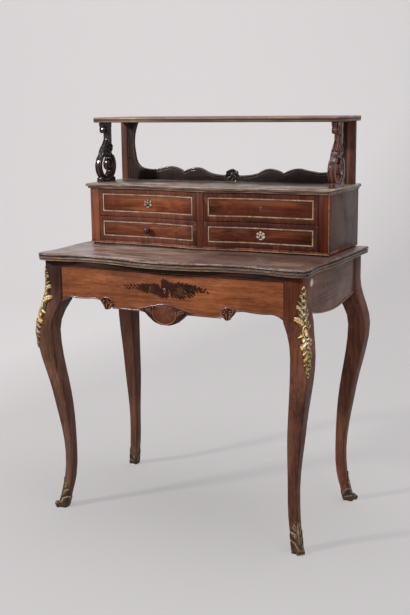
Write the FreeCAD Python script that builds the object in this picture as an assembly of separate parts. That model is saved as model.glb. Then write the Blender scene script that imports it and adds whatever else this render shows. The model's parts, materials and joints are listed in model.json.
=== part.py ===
"""Bonheur du jour: a small writing desk on cabriole legs with a drawer case and an open shelf.

Millimetres. +Z is up, the front faces -Y, +X is to the right of someone facing the front.
The origin is on the floor, at the middle of the desk's overall width and depth.
"""
import FreeCAD, Part
import math
import os

V = FreeCAD.Vector
UP = V(0, 0, 1)

# Base frame
frame_width = 761.0          # across the outsides of the leg blocks
frame_depth = 433.0          # over the fronts and backs of the leg blocks
leg_block = 53.0             # side of the square block at the top of a leg
table_height = 739.5         # writing surface above the floor
seat_gap = 0.3               # running clearance of a sliding piece on its seat

# Table top
top_board = 6.5              # upper board, with a rounded nose over a quirk
top_quirk = 2.0              # height of the quirk under the nose
quirk_depth = 4.0            # how far the quirk runs in
bead_height = 6.25           # each of the two beads of the frame under the board
bead_step = 1.5              # the lower bead stands this far inside the upper one
top_side_overhang = 16.0     # past the leg blocks, at the sides
top_back_overhang = 16.0     # past the leg blocks, at the back
top_bow = 41.0               # front edge ahead of the leg blocks, at the middle
top_hollow = 10.0            # the same at the hollows of the serpentine
top_corner = 26.0            # the same at the front corners
hollow_place = 235.0         # from the middle line to a hollow
corner_round = 30.0          # rounding of the front corners
pinch_depth = 7.0            # waist in each side, behind the front corner
pinch_place = 86.0           # from the front corner back to the waist
slide_width = 606.0          # writing slide, between its two joints in the front edge
slide_depth = 330.0          # writing slide, front to back at the middle
slide_side_gap = 1.2         # between the slide and the frame, each side

# Cabriole legs
bracket_drop = 115.0         # straight inner face of a block, below the top of the leg
shoulder_drop = 67.0         # start of the outward curve, below the top of the leg
knee_drop = 199.0            # fullest part of the knee, below the top of the leg
knee_throw = 23.0            # knee outside the block, along each axis
knee_side = 50.5             # side of the section at the knee
calf_side = 40.0             # side of the section half way to the ankle
calf_hollow = 4.0            # outer face there behind a straight line from knee to ankle
ankle_height = 153.5
ankle_tuck = 24.5            # outer face at the ankle inside the block's face
ankle_side = 27.0
foot_side = 26.0
foot_throw = 5.5             # outer face of the foot inside the block's face
arris = 3.5                  # flat worked along the leg's edges

# Cast mounts
sabot_skin = 1.8
sabot_height = 90.5
sabot_sole = 4.0
toe_roll = 8.0
chute_skin = 4.0
chute_top_drop = 20.0        # tip of a corner mount, below the top of the leg
chute_length = 228.0
chute_width = 44.0

# Aprons, rail and main drawer
apron_thickness = 22.0
apron_recess = 3.0           # faces behind the faces of the leg blocks
side_apron_bow = 4.0
side_apron_end = 99.0        # height of a side apron at its ends
side_apron_belly = 17.0      # extra height at its middle
back_apron_height = 90.0
rail_height = 15.5
drawer_reveal = 2.0          # shadow gap over and beside the drawer front
front_bow = 10.0             # drawer front, ahead at the middle
front_thickness = 22.0
front_recess = 2.0
front_arch = 83.0            # height of the front at the arches beside the legs
front_middle = 101.5         # height of the front between the leaves
front_toe = 95.0             # height of the front at its very ends
toe_run = 12.0               # length of the short drop at each end
leaf_offset = 179.0          # carved leaf from the middle line
leaf_width = 40.0
leaf_height = 30.0
leaf_drop = 4.0              # leaf below the front's lower edge
shell_width = 160.0
shell_height = 52.0
shell_drop = 31.0            # shell below the front's lower edge
carving_relief = 7.0
box_side = 11.0              # sides and back of the main drawer
box_back_gap = 34.0          # behind the main drawer, to the back apron
box_headroom = 5.0           # sides of the main drawer below the top of its front
box_height = 63.0
box_bottom = 7.0
box_inset = 9.0              # sides inside the leg blocks, each side
bottom_rise = 5.0            # bottom board above the lower edges of the sides
main_lock_drop = 41.0        # keyhole of the main drawer below the top of its front
runner_height = 12.0
runner_lap = 4.0             # ledge past the inner face of a drawer side
guide_height = 20.0          # guide beside the drawer, above the ledge
bearer_lap = 24.0            # bearers under the ends of the writing slide

# Upper case
case_width = 730.0
case_depth = 230.5           # at the ends
case_bulge = 18.0            # front, ahead at the middle
case_bulge_half = 160.0      # half the width of the bulge
plinth_height = 2.5
plinth_inset = 5.0
case_height = 157.0
case_board = 8.0             # bottom, back and dust boards
case_side = 13.0
stile_width = 29.5
stile_depth = 18.0
stile_proud = 1.0            # stiles ahead of the drawer fronts
stile_bevel = 2.0
centre_proud = 1.5           # centre stile ahead of the drawer fronts
drawer_guide = 30.0          # height of the strips that guide the small drawers
centre_stile = 20.0
case_top = 14.0
case_top_lip = 9.0           # overhang at the ends
case_top_front = 12.0        # overhang at the front
case_top_nose = 9.0          # height of the rounded nose
cove = 6.0                   # step under the nose

# Small drawers
small_front = 16.0
small_side = 7.0
small_bottom = 4.0
small_back_gap = 20.5        # behind a small drawer, to the case's back
small_gap = 1.6
small_box_inset = 1.0        # drawer sides inside the ends of the front
small_headroom = 4.0         # drawer sides below the top of the front
small_bottom_rise = 2.0      # bottom board above the lower edges of the sides
small_split = 77.5           # joint between upper and lower drawers, above the case's bottom face
string_width = 4.5
string_margin = 13.0
string_relief = 0.8
string_inlay = 1.4

# Locks, escutcheons and knob
lock_width = 38.0
lock_height = 26.0
lock_depth = 9.0
bolt_throw = 4.0
keyhole = 5.0
escutcheon_width = 27.0
escutcheon_height = 24.0
escutcheon_thickness = 2.2
escutcheon_gap = 0.1         # between the plate and the front it is pinned to
knob_diameter = 20.0
knob_length = 19.0
knob_sides = 14

# Open shelf
shelf_lip = 5.0              # shelf past the ends of the case
shelf_depth = 191.0
shelf_thickness = 14.5
shelf_rise = 170.0           # underside of the shelf above the case's top
shelf_back_inset = 3.0       # behind the case's back face
shelf_round = 2.4            # rounding of the shelf's front and ends
post_end_inset = 2.0         # posts inside the shelf's ends
post_width = 21.0
post_depth = 14.0
post_inset = 33.5            # backs of the posts, ahead of the case's back face
fret_thickness = 9.0
fret_low = 17.0              # back board at the middle
fret_peak = 39.5             # back board at its crests
fret_ear = 21.0              # width of the ends that rise to the shelf
ear_flare = 14.0             # how much wider they are at the shelf
console_thickness = 20.0
console_loop = 43.0          # half depth of the large lower scroll
console_band = 15.0
console_lean = 4.0           # middle of the lower scroll ahead of the middle of the top
knot_width = 27.0            # round knot behind the neck, over the large scroll
beak_width = 24.0            # small volute under the capital
beak_height = 22.0
neck_depth = 15.0
neck_set = 10.0              # middle of the neck behind the middle of the top
capital_depth = 38.0
foot_height = 12.0           # plain blocks at the foot and under the shelf
console_end_inset = 4.0      # consoles inside the shelf's ends
console_front_inset = 41.0   # middle of a console's top behind the shelf's front
flower_radius = 19.0
flower_relief = 5.0

# Derived places
half_frame = frame_width / 2
half_block = leg_block / 2
leg_top = table_height - top_board - 2 * bead_height
knee_outer = half_block + knee_throw
overall_depth = top_bow + frame_depth + knee_throw
front = -overall_depth / 2 + top_bow
back = front + frame_depth
leg_x = half_frame - half_block
leg_front_y = front + half_block
leg_back_y = back - half_block
inner_x = half_frame - leg_block
half_top = half_frame + top_side_overhang
top_back_y = back + top_back_overhang
frame_top = table_height - top_board
case_base = table_height + plinth_height
case_roof = case_base + case_height
case_back_y = top_back_y - (top_back_overhang - plinth_inset) / 2
case_front_y = case_back_y - case_depth
half_case = case_width / 2
deck = case_roof + case_top
shelf_bottom = deck + shelf_rise
shelf_front_y = case_back_y - shelf_back_inset - shelf_depth


def box(x0, x1, y0, y1, z0, z1):
    return Part.makeBox(x1 - x0, y1 - y0, z1 - z0, V(x0, y0, z0))


def unit(v):
    return v * (1 / v.Length)


def bend(start, heading, stop):
    """Arc between two points that leaves the first along heading."""
    chord = stop - start
    lean = heading - unit(chord) * heading.dot(unit(chord))
    if lean.Length < 1e-4:
        return Part.makeLine(start, stop)
    turn = math.atan2(lean.Length, heading.dot(unit(chord)))
    middle = (start + stop) * 0.5 + unit(lean) * (chord.Length / 2 * math.tan(turn / 2))
    return Part.Arc(start, middle, stop).toShape()


def tangent_arcs(points, headings):
    """Smooth chain through points with given headings, two tangent arcs to a span."""
    edges = []
    for p, t, q, u in zip(points, headings, points[1:], headings[1:]):
        v = q - p
        pull = v.dot(t + u)
        spread = 2 * (1 - t.dot(u))
        if spread > 1e-6:
            reach = (math.sqrt(pull * pull + spread * v.dot(v)) - pull) / spread
        else:
            reach = v.dot(v) / (2 * pull)
        joint = (p + q + (t - u) * reach) * 0.5
        edges += [bend(p, t, joint), Part.Edge(bend(q, u * -1, joint))]
    return edges


def curve(points):
    """Smooth chain of arcs through points in one plane."""
    chords = [b - a for a, b in zip(points, points[1:])]
    headings = [unit(unit(a) * b.Length + unit(b) * a.Length) for a, b in zip(chords, chords[1:])]
    first, last = unit(chords[0]), unit(chords[-1])
    headings.insert(0, unit(first * (2 * first.dot(headings[0])) - headings[0]))
    headings.append(unit(last * (2 * last.dot(headings[-1])) - headings[-1]))
    return tangent_arcs(points, headings)


def polyline(points):
    return [Part.makeLine(a, b) for a, b in zip(points, points[1:])]


def solid_from(edges, direction):
    return Part.Face(Part.Wire(edges)).extrude(direction)


def faceted(rings):
    """Solid with flat sides between rings of points, each ring in the same order."""
    faces = [Part.Face(Part.makePolygon(ring + ring[:1])) for ring in (rings[0], rings[-1])]
    for lower, upper in zip(rings, rings[1:]):
        for i, p in enumerate(lower):
            j = (i + 1) % len(lower)
            faces.append(Part.Face(Part.makePolygon([p, lower[j], upper[j], upper[i], p])))
    skin = Part.makeCompound(faces)
    skin.sewShape()
    solid = Part.Solid(skin.Shells[0])
    return solid if solid.Volume > 0 else solid.reversed()


def mirrored(shape):
    return shape.mirror(V(0, 0, 0), V(1, 0, 0))


def save(name, *solids):
    shape = solids[0] if len(solids) == 1 else Part.makeCompound(list(solids))
    shape.exportStep("parts/%s.step" % name)


def hermite(knots, z):
    """Offset at height z on a smooth curve through knots of (height, offset, slope)."""
    for (za, a, slope_a), (zb, b, slope_b) in zip(knots, knots[1:]):
        if zb <= z <= za:
            span = zb - za
            t = (z - za) / span
            rise = t * t * (3 - 2 * t)
            lead = slope_a * span * t * (1 - t) ** 2 - slope_b * span * t * t * (1 - t)
            return a + (b - a) * rise + lead
    raise ValueError("height outside the leg")


# Leg: one square section follows an outer and an inner curve, the same along both axes
bracket_z = leg_top - bracket_drop
shoulder_z = leg_top - shoulder_drop
knee_z = leg_top - knee_drop
calf_z = (knee_z + ankle_height) / 2
calf_outer = (knee_outer + half_block - ankle_tuck) / 2 - calf_hollow
instep_z = ankle_height * 0.38
calf_slope = (knee_outer - half_block + ankle_tuck) / (knee_z - ankle_height)
foot_outer = half_block - foot_throw
ankle_outer = half_block - ankle_tuck
instep_outer = ankle_outer + (foot_outer - ankle_outer) * 0.4
foot_slope = -1.25 * (foot_outer - instep_outer) / instep_z
OUTER_CURVE = [
    (shoulder_z, half_block, 0.0),
    (knee_z, knee_outer, 0.0),
    (calf_z, calf_outer, calf_slope),
    (ankle_height, ankle_outer, 0.0),
    (instep_z, instep_outer, foot_slope * 0.75),
    (0.0, foot_outer, foot_slope),
]
INNER_CURVE = [
    (bracket_z, -half_block, -0.55),
    (knee_z, knee_outer - knee_side, 0.0),
    (calf_z, calf_outer - calf_side, calf_slope * 0.75),
    (ankle_height, ankle_outer - ankle_side, 0.0),
    (instep_z, instep_outer - foot_side, foot_slope * 0.9),
    (0.0, foot_outer - foot_side, foot_slope),
]


def leg_span(z):
    outer = half_block if z >= shoulder_z else hermite(OUTER_CURVE, z)
    inner = -half_block if z >= bracket_z else hermite(INNER_CURVE, z)
    return inner, outer


def leg_section(z, grow=0.0):
    """Square ring of points with its four corners flattened, in the leg's own outward axes."""
    inner, outer = leg_span(z)
    a, b = inner - grow, outer + grow
    flat = arris + grow * (2 - math.sqrt(2))
    return [V(a + flat, a, z), V(b - flat, a, z), V(b, a + flat, z), V(b, b - flat, z),
            V(b - flat, b, z), V(a + flat, b, z), V(a, b - flat, z), V(a, a + flat, z)]


def leg_loft(heights, grow=0.0):
    return faceted([leg_section(z, grow) for z in heights])


def steps(start, stop, count):
    return [start + (stop - start) * i / count for i in range(count + 1)]


KNEE_HEIGHTS = steps(leg_top - shoulder_drop, leg_top - bracket_drop, 2)
KNEE_HEIGHTS += steps(leg_top - bracket_drop, knee_z, 3)[1:] + steps(knee_z, sabot_height, 12)[1:]
FOOT_HEIGHTS = steps(sabot_height, sabot_sole, 4)


def make_leg():
    """Square block that sweeps out into the knee, in to the ankle and out again at the foot."""
    return leg_loft([leg_top] + KNEE_HEIGHTS + FOOT_HEIGHTS[1:])


def diagonal(d, z):
    """Point in the vertical plane through the leg's outer and inner edges."""
    return V(d * math.sqrt(0.5), d * math.sqrt(0.5), z)


ACROSS = V(math.sqrt(0.5), -math.sqrt(0.5), 0)
OUTWARD = V(math.sqrt(0.5), math.sqrt(0.5), 0)


def make_sabot(leg):
    """Cup round the foot, with a tongue up the front edge and a rolled toe."""
    reach = 2 * leg_block
    tip = hermite(OUTER_CURVE, sabot_height) * math.sqrt(2)
    cup = leg_loft(FOOT_HEIGHTS + [0.0], sabot_skin)
    brim = [diagonal(-reach, sabot_height * 0.2), diagonal(tip - foot_side, sabot_height * 0.26),
            diagonal(tip - foot_side * 0.5, sabot_height * 0.4),
            diagonal(tip - foot_side * 0.28, sabot_height * 0.66), diagonal(tip, sabot_height)]
    rest = [diagonal(reach, sabot_height), diagonal(reach, 0), diagonal(-reach, 0)]
    outline = solid_from(polyline(brim + rest + brim[:1]), ACROSS * (2 * reach))
    outline.translate(ACROSS * -reach)
    toe_reach = (foot_outer + sabot_skin) * math.sqrt(2) - arris
    width = foot_side * 0.8
    turns = steps(0, 2 * math.pi, 12)
    roll = [diagonal(toe_reach + toe_roll * math.cos(a), toe_roll * (1 + math.sin(a))) for a in turns[:-1]]
    toe = solid_from(polyline(roll + roll[:1]), ACROSS * width).translated(ACROSS * (-width / 2))
    return cup.common(outline).fuse(toe).cut(leg).removeSplitter()


def make_chute(leg):
    """Leafy corner mount that wraps the outer edge of a front leg."""
    top = leg_top - chute_top_drop
    swell = [(0.0, 0.0), (0.05, 0.26), (0.15, 0.42), (0.19, 0.62), (0.31, 0.72), (0.36, 0.94), (0.52, 1.0),
             (0.64, 0.78), (0.70, 0.56), (0.84, 0.44), (0.92, 0.3), (1.0, 0.0)]

    def side(sign):
        return [ACROSS * (sign * share * chute_width / 2) + UP * (top - along * chute_length)
                for along, share in swell]
    reach = 3 * leg_block
    outline = solid_from(polyline(side(1) + side(-1)[-2::-1]), OUTWARD * reach)
    outline.translate(OUTWARD * (chute_width / 2))
    low = top - chute_length
    skin = leg_loft([top] + [z for z in KNEE_HEIGHTS if low < z < top] + [low], chute_skin)
    return skin.common(outline).cut(leg).removeSplitter()


def corner_places():
    for end, y, sy in (("front", leg_front_y, -1), ("back", leg_back_y, 1)):
        for hand, sx in (("left", -1), ("right", 1)):
            yield "%s_%s" % (end, hand), sx, sy, V(sx * leg_x, y, 0)


def at_corner(shape, sx, sy, place):
    if sx < 0:
        shape = shape.mirror(V(0, 0, 0), V(1, 0, 0))
    if sy < 0:
        shape = shape.mirror(V(0, 0, 0), V(0, 1, 0))
    return shape.translated(place)


leg = make_leg()
sabot = make_sabot(leg)
chute = make_chute(leg)
LEGS = {}
SABOTS = {}
CHUTES = {}
for name, sx, sy, place in corner_places():
    LEGS[name] = at_corner(leg, sx, sy, place)
    SABOTS[name] = at_corner(sabot, sx, sy, place)
    if sy < 0:
        CHUTES[name] = at_corner(chute, sx, sy, place)


# Table top: one serpentine outline, drawn in by different amounts for each member
ALONG = V(1, 0, 0)
REARWARD = V(0, 1, 0)
TOP_FRONT = [
    (0.0, top_bow, ALONG),
    (hollow_place, top_hollow, ALONG),
    (half_top - corner_round, top_corner, ALONG),
    (half_top, top_corner - corner_round, REARWARD),
    (half_top - pinch_depth, top_corner - pinch_place, REARWARD),
    (half_top, top_corner - 2.6 * pinch_place, REARWARD),
]


def top_outline(inset, z):
    """Closed outline of the top at height z, drawn in evenly by inset."""
    points = []
    headings = []
    for x, ahead, heading in TOP_FRONT:
        inward = V(-heading.y, heading.x, 0)
        points.append(V(x, front - ahead, z) + inward * inset)
        headings.append(heading)
    left = [V(-p.x, p.y, z) for p in reversed(points[1:])]
    back_headings = [V(h.x, -h.y, 0) for h in reversed(headings[1:])]
    rim = tangent_arcs(left + points, back_headings + headings)
    rear_y = top_back_y - inset
    far, near = points[-1], left[0]
    return rim + polyline([far, V(far.x, rear_y, z), V(near.x, rear_y, z), near])


def moulded_plate(outline, profile):
    """Plate whose rim follows a profile of (inset, height) steps from its lower face up."""
    return Part.makeLoft([Part.Wire(outline(inset, z)) for inset, z in profile], True, True)


def bead(inset, z, height):
    """Half-round profile."""
    turns = [math.radians(a) for a in (-90, -36, 36, 90)]
    r = height / 2
    return [(inset + r * (1 - math.cos(a)), z + r * (1 + math.sin(a))) for a in turns]


def nose(inset, z, height):
    """Quarter-round profile that starts upright and rolls over the upper edge."""
    turns = [math.radians(a) for a in (0, 40, 90)]
    return [(inset + height * (1 - math.cos(a)), z + height * math.sin(a)) for a in turns]


nose_z = frame_top + top_quirk
table_top = moulded_plate(top_outline, [(quirk_depth, frame_top), (quirk_depth, nose_z)]
                          + nose(0.0, nose_z, top_board - top_quirk))
edge_frame = moulded_plate(top_outline, bead(bead_step, leg_top, bead_height)
                           + bead(0.0, leg_top + bead_height, bead_height))
slide_front_y = front - top_bow
slot = box(-slide_width / 2 - slide_side_gap, slide_width / 2 + slide_side_gap,
           slide_front_y - leg_block, slide_front_y + slide_depth + 2 * seat_gap, leg_top, frame_top)
slide_room = box(-slide_width / 2, slide_width / 2, slide_front_y - leg_block,
                 slide_front_y + slide_depth, leg_top + seat_gap, frame_top - seat_gap)
writing_slide = edge_frame.common(slide_room)
top_frame = edge_frame.cut(slot)


# Bowed fronts: plan curves made of tangent arcs, each as a function and the places where its arcs meet
def base_bow(x):
    """How far the drawer front and the rail stand ahead of their ends."""
    radius = (inner_x ** 2 + front_bow ** 2) / (2 * front_bow)
    return math.sqrt(radius ** 2 - x ** 2) - radius + front_bow


def case_bow(x):
    """How far the case's front stands ahead of its flat ends."""
    half_arc = case_bulge_half / 2
    radius = (half_arc ** 2 + (case_bulge / 2) ** 2) / case_bulge
    if abs(x) <= half_arc:
        return case_bulge - radius + math.sqrt(radius ** 2 - x ** 2)
    if abs(x) < case_bulge_half:
        return radius - math.sqrt(radius ** 2 - (case_bulge_half - abs(x)) ** 2)
    return 0.0


BASE = (base_bow, [])
CASE = (case_bow, [-case_bulge_half, -case_bulge_half / 2, case_bulge_half / 2, case_bulge_half])


def plan_edges(plan, y, x0, x1, z):
    bow, joints = plan
    stations = [x0] + [x for x in joints if x0 < x < x1] + [x1]
    edges = []
    for a, b in zip(stations, stations[1:]):
        start, middle, stop = [V(x, y - bow(x), z) for x in (a, (a + b) / 2, b)]
        level = abs(start.y + stop.y - 2 * middle.y) < 1e-6
        edges.append(Part.makeLine(start, stop) if level else Part.Arc(start, middle, stop).toShape())
    return edges


def bowed_slab(plan, y, x0, x1, near, far, z0, z1):
    """Slab from z0 to z1 between depths near and far behind the plan curve through y."""
    bow = plan[0]
    fore = plan_edges(plan, y + near, x0, x1, z0)
    aft = plan_edges(plan, y + far, x0, x1, z0)
    ends = [Part.makeLine(V(x, y - bow(x) + near, z0), V(x, y - bow(x) + far, z0)) for x in (x0, x1)]
    outline = Part.Wire(Part.__sortEdges__(fore + aft + ends))
    return Part.Face(outline).extrude(UP * (z1 - z0))


rail_bottom = leg_top - rail_height
face_y = front + front_recess
front_rail = bowed_slab(BASE, face_y, -inner_x, inner_x, 0, front_thickness, rail_bottom, leg_top)

# Main drawer front: bowed slab with a shaped lower edge
front_top = rail_bottom - drawer_reveal
front_half = inner_x - drawer_reveal / 2
arch_z = front_top - front_arch
middle_z = front_top - front_middle
toe_z = front_top - front_toe
leaf_in = leaf_offset - leaf_width / 2
leaf_out = leaf_offset + leaf_width / 2
arch_offset = (leaf_out + front_half) / 2


def lower_edge():
    shoulder = (toe_z + 2 * arch_z) / 3
    half = [V(leaf_in, 0, middle_z), V(leaf_out, 0, arch_z), V(arch_offset, 0, arch_z),
            V(front_half - toe_run, 0, shoulder), V(front_half, 0, toe_z)]
    left = [V(-p.x, 0, p.z) for p in reversed(half)]
    return curve(left) + [Part.makeLine(left[-1], half[0])] + curve(half)


skirt = [Part.makeLine(V(front_half, 0, toe_z), V(front_half, 0, front_top)),
         Part.makeLine(V(front_half, 0, front_top), V(-front_half, 0, front_top)),
         Part.makeLine(V(-front_half, 0, front_top), V(-front_half, 0, toe_z))]
elevation = solid_from(lower_edge() + skirt, V(0, 2 * frame_depth, 0)).translated(V(0, -frame_depth, 0))
front_slab = bowed_slab(BASE, face_y, -front_half, front_half, 0, front_thickness,
                        front_top - front_middle - front_toe, front_top)
main_front = front_slab.common(elevation)

box_half = inner_x - box_inset
back_apron_y = back - apron_recess - apron_thickness
box_back_y = back_apron_y - box_back_gap
box_top = front_top - box_headroom
box_low = box_top - box_height
main_lock_place = V(0, face_y - base_bow(0), front_top - main_lock_drop)


def lock_body(centre, behind):
    """Lock let into the back of a drawer front, with its key pin."""
    fore = behind - lock_depth
    low, high = centre.z - lock_height / 2, centre.z + lock_height / 2
    case = box(centre.x - lock_width / 2, centre.x + lock_width / 2, fore, behind, low, high)
    bolt = box(centre.x - lock_width / 5, centre.x + lock_width / 5, fore, behind - lock_depth / 3,
               high, high + bolt_throw)
    return case.fuse(bolt).removeSplitter()


def keyhole_cut(centre, depth):
    r = keyhole / 2
    start = centre - V(0, 1, 0)
    arch = [V(r * math.sin(a), 0, r * math.cos(a)) for a in steps(-0.83 * math.pi, 0.83 * math.pi, 8)]
    slit = [V(r * 0.5, 0, -2.8 * r), V(-r * 0.5, 0, -2.8 * r)]
    points = [start + p for p in arch + slit]
    return solid_from(polyline(points + points[:1]), V(0, depth, 0))


main_lock = lock_body(main_lock_place, face_y - base_bow(0) + front_thickness)
main_front = main_front.cut(main_lock).cut(keyhole_cut(main_lock_place, front_thickness - lock_depth + 1))


def box_end(x0, x1, z0, z1, back_y):
    """Drawer part whose front end follows the hollow back of the drawer front."""
    blank = box(x0, x1, face_y - front_bow, back_y, z0, z1)
    return blank.cut(bowed_slab(BASE, face_y, -front_half, front_half, -leg_block, front_thickness, z0, z1))


bottom_z = box_low + bottom_rise
side_left = box_end(-box_half, -box_half + box_side, box_low, box_top, box_back_y)
main_sides = [side_left, mirrored(side_left)]
box_clear = box_half - box_side
main_back = box(-box_clear, box_clear, box_back_y - box_side, box_back_y, box_low, box_top)
main_bottom = box_end(-box_clear, box_clear, bottom_z, bottom_z + box_bottom, box_back_y - box_side)

# Carvings on the drawer front, proud of it and hanging below its edge
def carving_slab(x0, x1, z0, z1):
    return bowed_slab(BASE, face_y, x0, x1, -carving_relief, front_thickness * 0.6, z0, z1)


def make_shell():
    """Scallop: an arched crest over a rounded bowl with a curled ear at each end."""
    half = shell_width / 2
    low = middle_z - shell_drop
    crest = low + shell_height
    ear = low + shell_height * 0.68
    hip = low + shell_height * 0.56
    bowl_side = low + shell_height * 0.33
    bowl_foot = low + shell_height * 0.1
    shoulder = low + shell_height * 0.86
    half_bowl = [V(half * 0.37, 0, bowl_foot), V(half * 0.58, 0, bowl_side), V(half * 0.76, 0, hip),
                 V(half, 0, ear)]
    bowl = curve([V(-p.x, 0, p.z) for p in reversed(half_bowl)] + [V(0, 0, low)] + half_bowl)
    arch = curve([V(half, 0, ear), V(half * 0.55, 0, shoulder), V(0, 0, crest), V(-half * 0.55, 0, shoulder),
                  V(-half, 0, ear)])
    outline = solid_from(bowl + arch, V(0, 2 * frame_depth, 0)).translated(V(0, -frame_depth, 0))
    return carving_slab(-half, half, low, crest).common(outline)


def make_leaf():
    low = middle_z - leaf_drop

    def at(across, up):
        """Point by shares of the leaf's width from its inner end and of its height."""
        return V(leaf_in + leaf_width * across, 0, low + leaf_height * up)
    tip = curve([at(0.0, 0.5), at(0.2, 0.2), at(0.5, 0.0), at(0.7, 0.25), at(1.0, 0.75)])
    crown = curve([at(1.0, 0.75), at(0.65, 1.0), at(0.3, 0.93), at(0.0, 0.5)])
    outline = solid_from(tip + crown, V(0, 2 * frame_depth, 0)).translated(V(0, -frame_depth, 0))
    return carving_slab(leaf_in, leaf_out, low, low + leaf_height).common(outline)


shell = make_shell()
leaf = make_leaf()
leaves = [mirrored(leaf), leaf]
main_front = main_front.cut(shell).cut(leaves[0]).cut(leaves[1])

# Aprons, runners and bearers
apron_front_y = front + leg_block
apron_back_y = back - leg_block
apron_face_x = half_frame - apron_recess


def make_side_apron():
    low = leg_top - side_apron_end
    middle = (apron_front_y + apron_back_y) / 2
    quarter = (apron_back_y - apron_front_y) / 4
    hem = curve([V(0, apron_front_y, low), V(0, middle - quarter, low - side_apron_belly * 0.75),
                 V(0, middle, low - side_apron_belly), V(0, middle + quarter, low - side_apron_belly * 0.62),
                 V(0, apron_back_y, low)])
    rest = polyline([V(0, apron_back_y, low), V(0, apron_back_y, leg_top), V(0, apron_front_y, leg_top),
                     V(0, apron_front_y, low)])
    panel = solid_from(hem + rest, V(half_frame + side_apron_bow, 0, 0))
    outside = Part.Arc(V(apron_face_x, apron_front_y, 0), V(apron_face_x + side_apron_bow, middle, 0),
                       V(apron_face_x, apron_back_y, 0)).toShape()
    inner = apron_face_x - apron_thickness
    inside = polyline([V(apron_face_x, apron_back_y, 0), V(inner, apron_back_y, 0),
                       V(inner, apron_front_y, 0), V(apron_face_x, apron_front_y, 0)])
    return panel.common(solid_from([outside] + inside, UP * leg_top))


side_apron = make_side_apron()
back_apron = box(-inner_x, inner_x, back_apron_y, back - apron_recess,
                 leg_top - back_apron_height, leg_top)

apron_inner_x = apron_face_x - apron_thickness
runner_top = box_low - seat_gap


def make_runner():
    """Ledge under a drawer side with a guide beside it, glued along the side apron."""
    ledge = box(box_half - box_side - runner_lap, apron_inner_x, apron_front_y, apron_back_y,
                runner_top - runner_height, runner_top)
    guide = box(box_half + seat_gap, apron_inner_x, apron_front_y, apron_back_y,
                runner_top, runner_top + guide_height)
    return ledge.fuse(guide).removeSplitter()


def make_bearer():
    """Rail from front to back that carries the slide and holds the drawer down."""
    return box(slide_width / 2 - bearer_lap, inner_x, front_rail_back, back_apron_y,
               box_top + seat_gap, leg_top)


front_rail_back = face_y + front_thickness
runner = make_runner()
bearer = make_bearer()
bearer = bearer.cut(LEGS["front_right"]).cut(LEGS["back_right"])

# Upper case
rear = case_back_y
inside_x = half_case - stile_width
bay_z = case_base + case_board
plinth = bowed_slab(CASE, case_front_y, -half_case + plinth_inset, half_case - plinth_inset, plinth_inset,
                    case_depth + case_bulge, table_height, case_base)
plinth = plinth.common(box(-half_case, half_case, case_front_y - 2 * case_bulge, rear - plinth_inset,
                           table_height, case_base))


def to_rear(slab, z0, z1):
    """Trim a slab that follows the front curve to the straight back of the case."""
    return slab.common(box(-case_width, case_width, case_front_y - case_width, rear, z0, z1))


case_bottom = to_rear(bowed_slab(CASE, case_front_y, -half_case, half_case, 0, case_depth + case_bulge,
                                 case_base, bay_z), case_base, bay_z)
side_panel = box(half_case - case_side, half_case, case_front_y + stile_depth, rear, bay_z, case_roof)
stile_y = case_front_y - stile_proud
stile_plan = [V(inside_x, stile_y, bay_z), V(half_case - stile_bevel, stile_y, bay_z),
              V(half_case, stile_y + stile_bevel, bay_z), V(half_case, case_front_y + stile_depth, bay_z),
              V(inside_x, case_front_y + stile_depth, bay_z)]
stile = solid_from(polyline(stile_plan + stile_plan[:1]), UP * (case_roof - bay_z))
case_back = box(-half_case + case_side, half_case - case_side, rear - case_board, rear, bay_z, case_roof)
half_centre = centre_stile / 2
stile_back_y = case_front_y + stile_depth
divider = box(-half_centre, half_centre, stile_back_y, rear - case_board, bay_z, case_roof)
centre_front = bowed_slab(CASE, case_front_y, -half_centre, half_centre, -centre_proud,
                          stile_depth + case_bulge, bay_z, case_roof)
centre_front = centre_front.common(box(-half_centre, half_centre, case_front_y - 2 * case_bulge, stile_back_y,
                                       bay_z, case_roof))
divider = divider.fuse(centre_front).removeSplitter()
split_z = case_base + small_split
dust_z = split_z + small_gap / 2
dust_board = bowed_slab(CASE, case_front_y, half_centre, half_case - case_side, small_front + seat_gap,
                        case_depth + case_bulge, dust_z - case_board / 2, dust_z + case_board / 2)
dust_board = to_rear(dust_board, dust_z - case_board, dust_z + case_board)
dust_board = dust_board.cut(case_back).cut(stile)
GUIDES = [box(inside_x, half_case - case_side, stile_back_y, rear - case_board, z, z + drawer_guide)
          for z in (bay_z, dust_z + case_board / 2)]


def case_top_outline(inset, z):
    """The case's front curve, pushed out to the edge of its top; the back stays straight."""
    half = half_case + case_top_lip - inset
    y = case_front_y - case_top_front + inset
    fore = y - case_bow(half)
    ends = polyline([V(half, fore, z), V(half, rear, z), V(-half, rear, z), V(-half, fore, z)])
    return plan_edges(CASE, y, -half, half, z) + ends


lip_z = deck - case_top_nose
case_top_board = moulded_plate(case_top_outline, [(cove, case_roof), (cove, lip_z)]
                               + bead(0.0, lip_z, case_top_nose))


# Small drawers
DRAWERS = {
    "upper_left": (-1, dust_z + case_board / 2, case_roof),
    "upper_right": (1, dust_z + case_board / 2, case_roof),
    "lower_left": (-1, bay_z, dust_z - case_board / 2),
    "lower_right": (1, bay_z, dust_z - case_board / 2),
}
SMALL = {}
small_mid_x = (half_centre + inside_x) / 2


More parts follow.
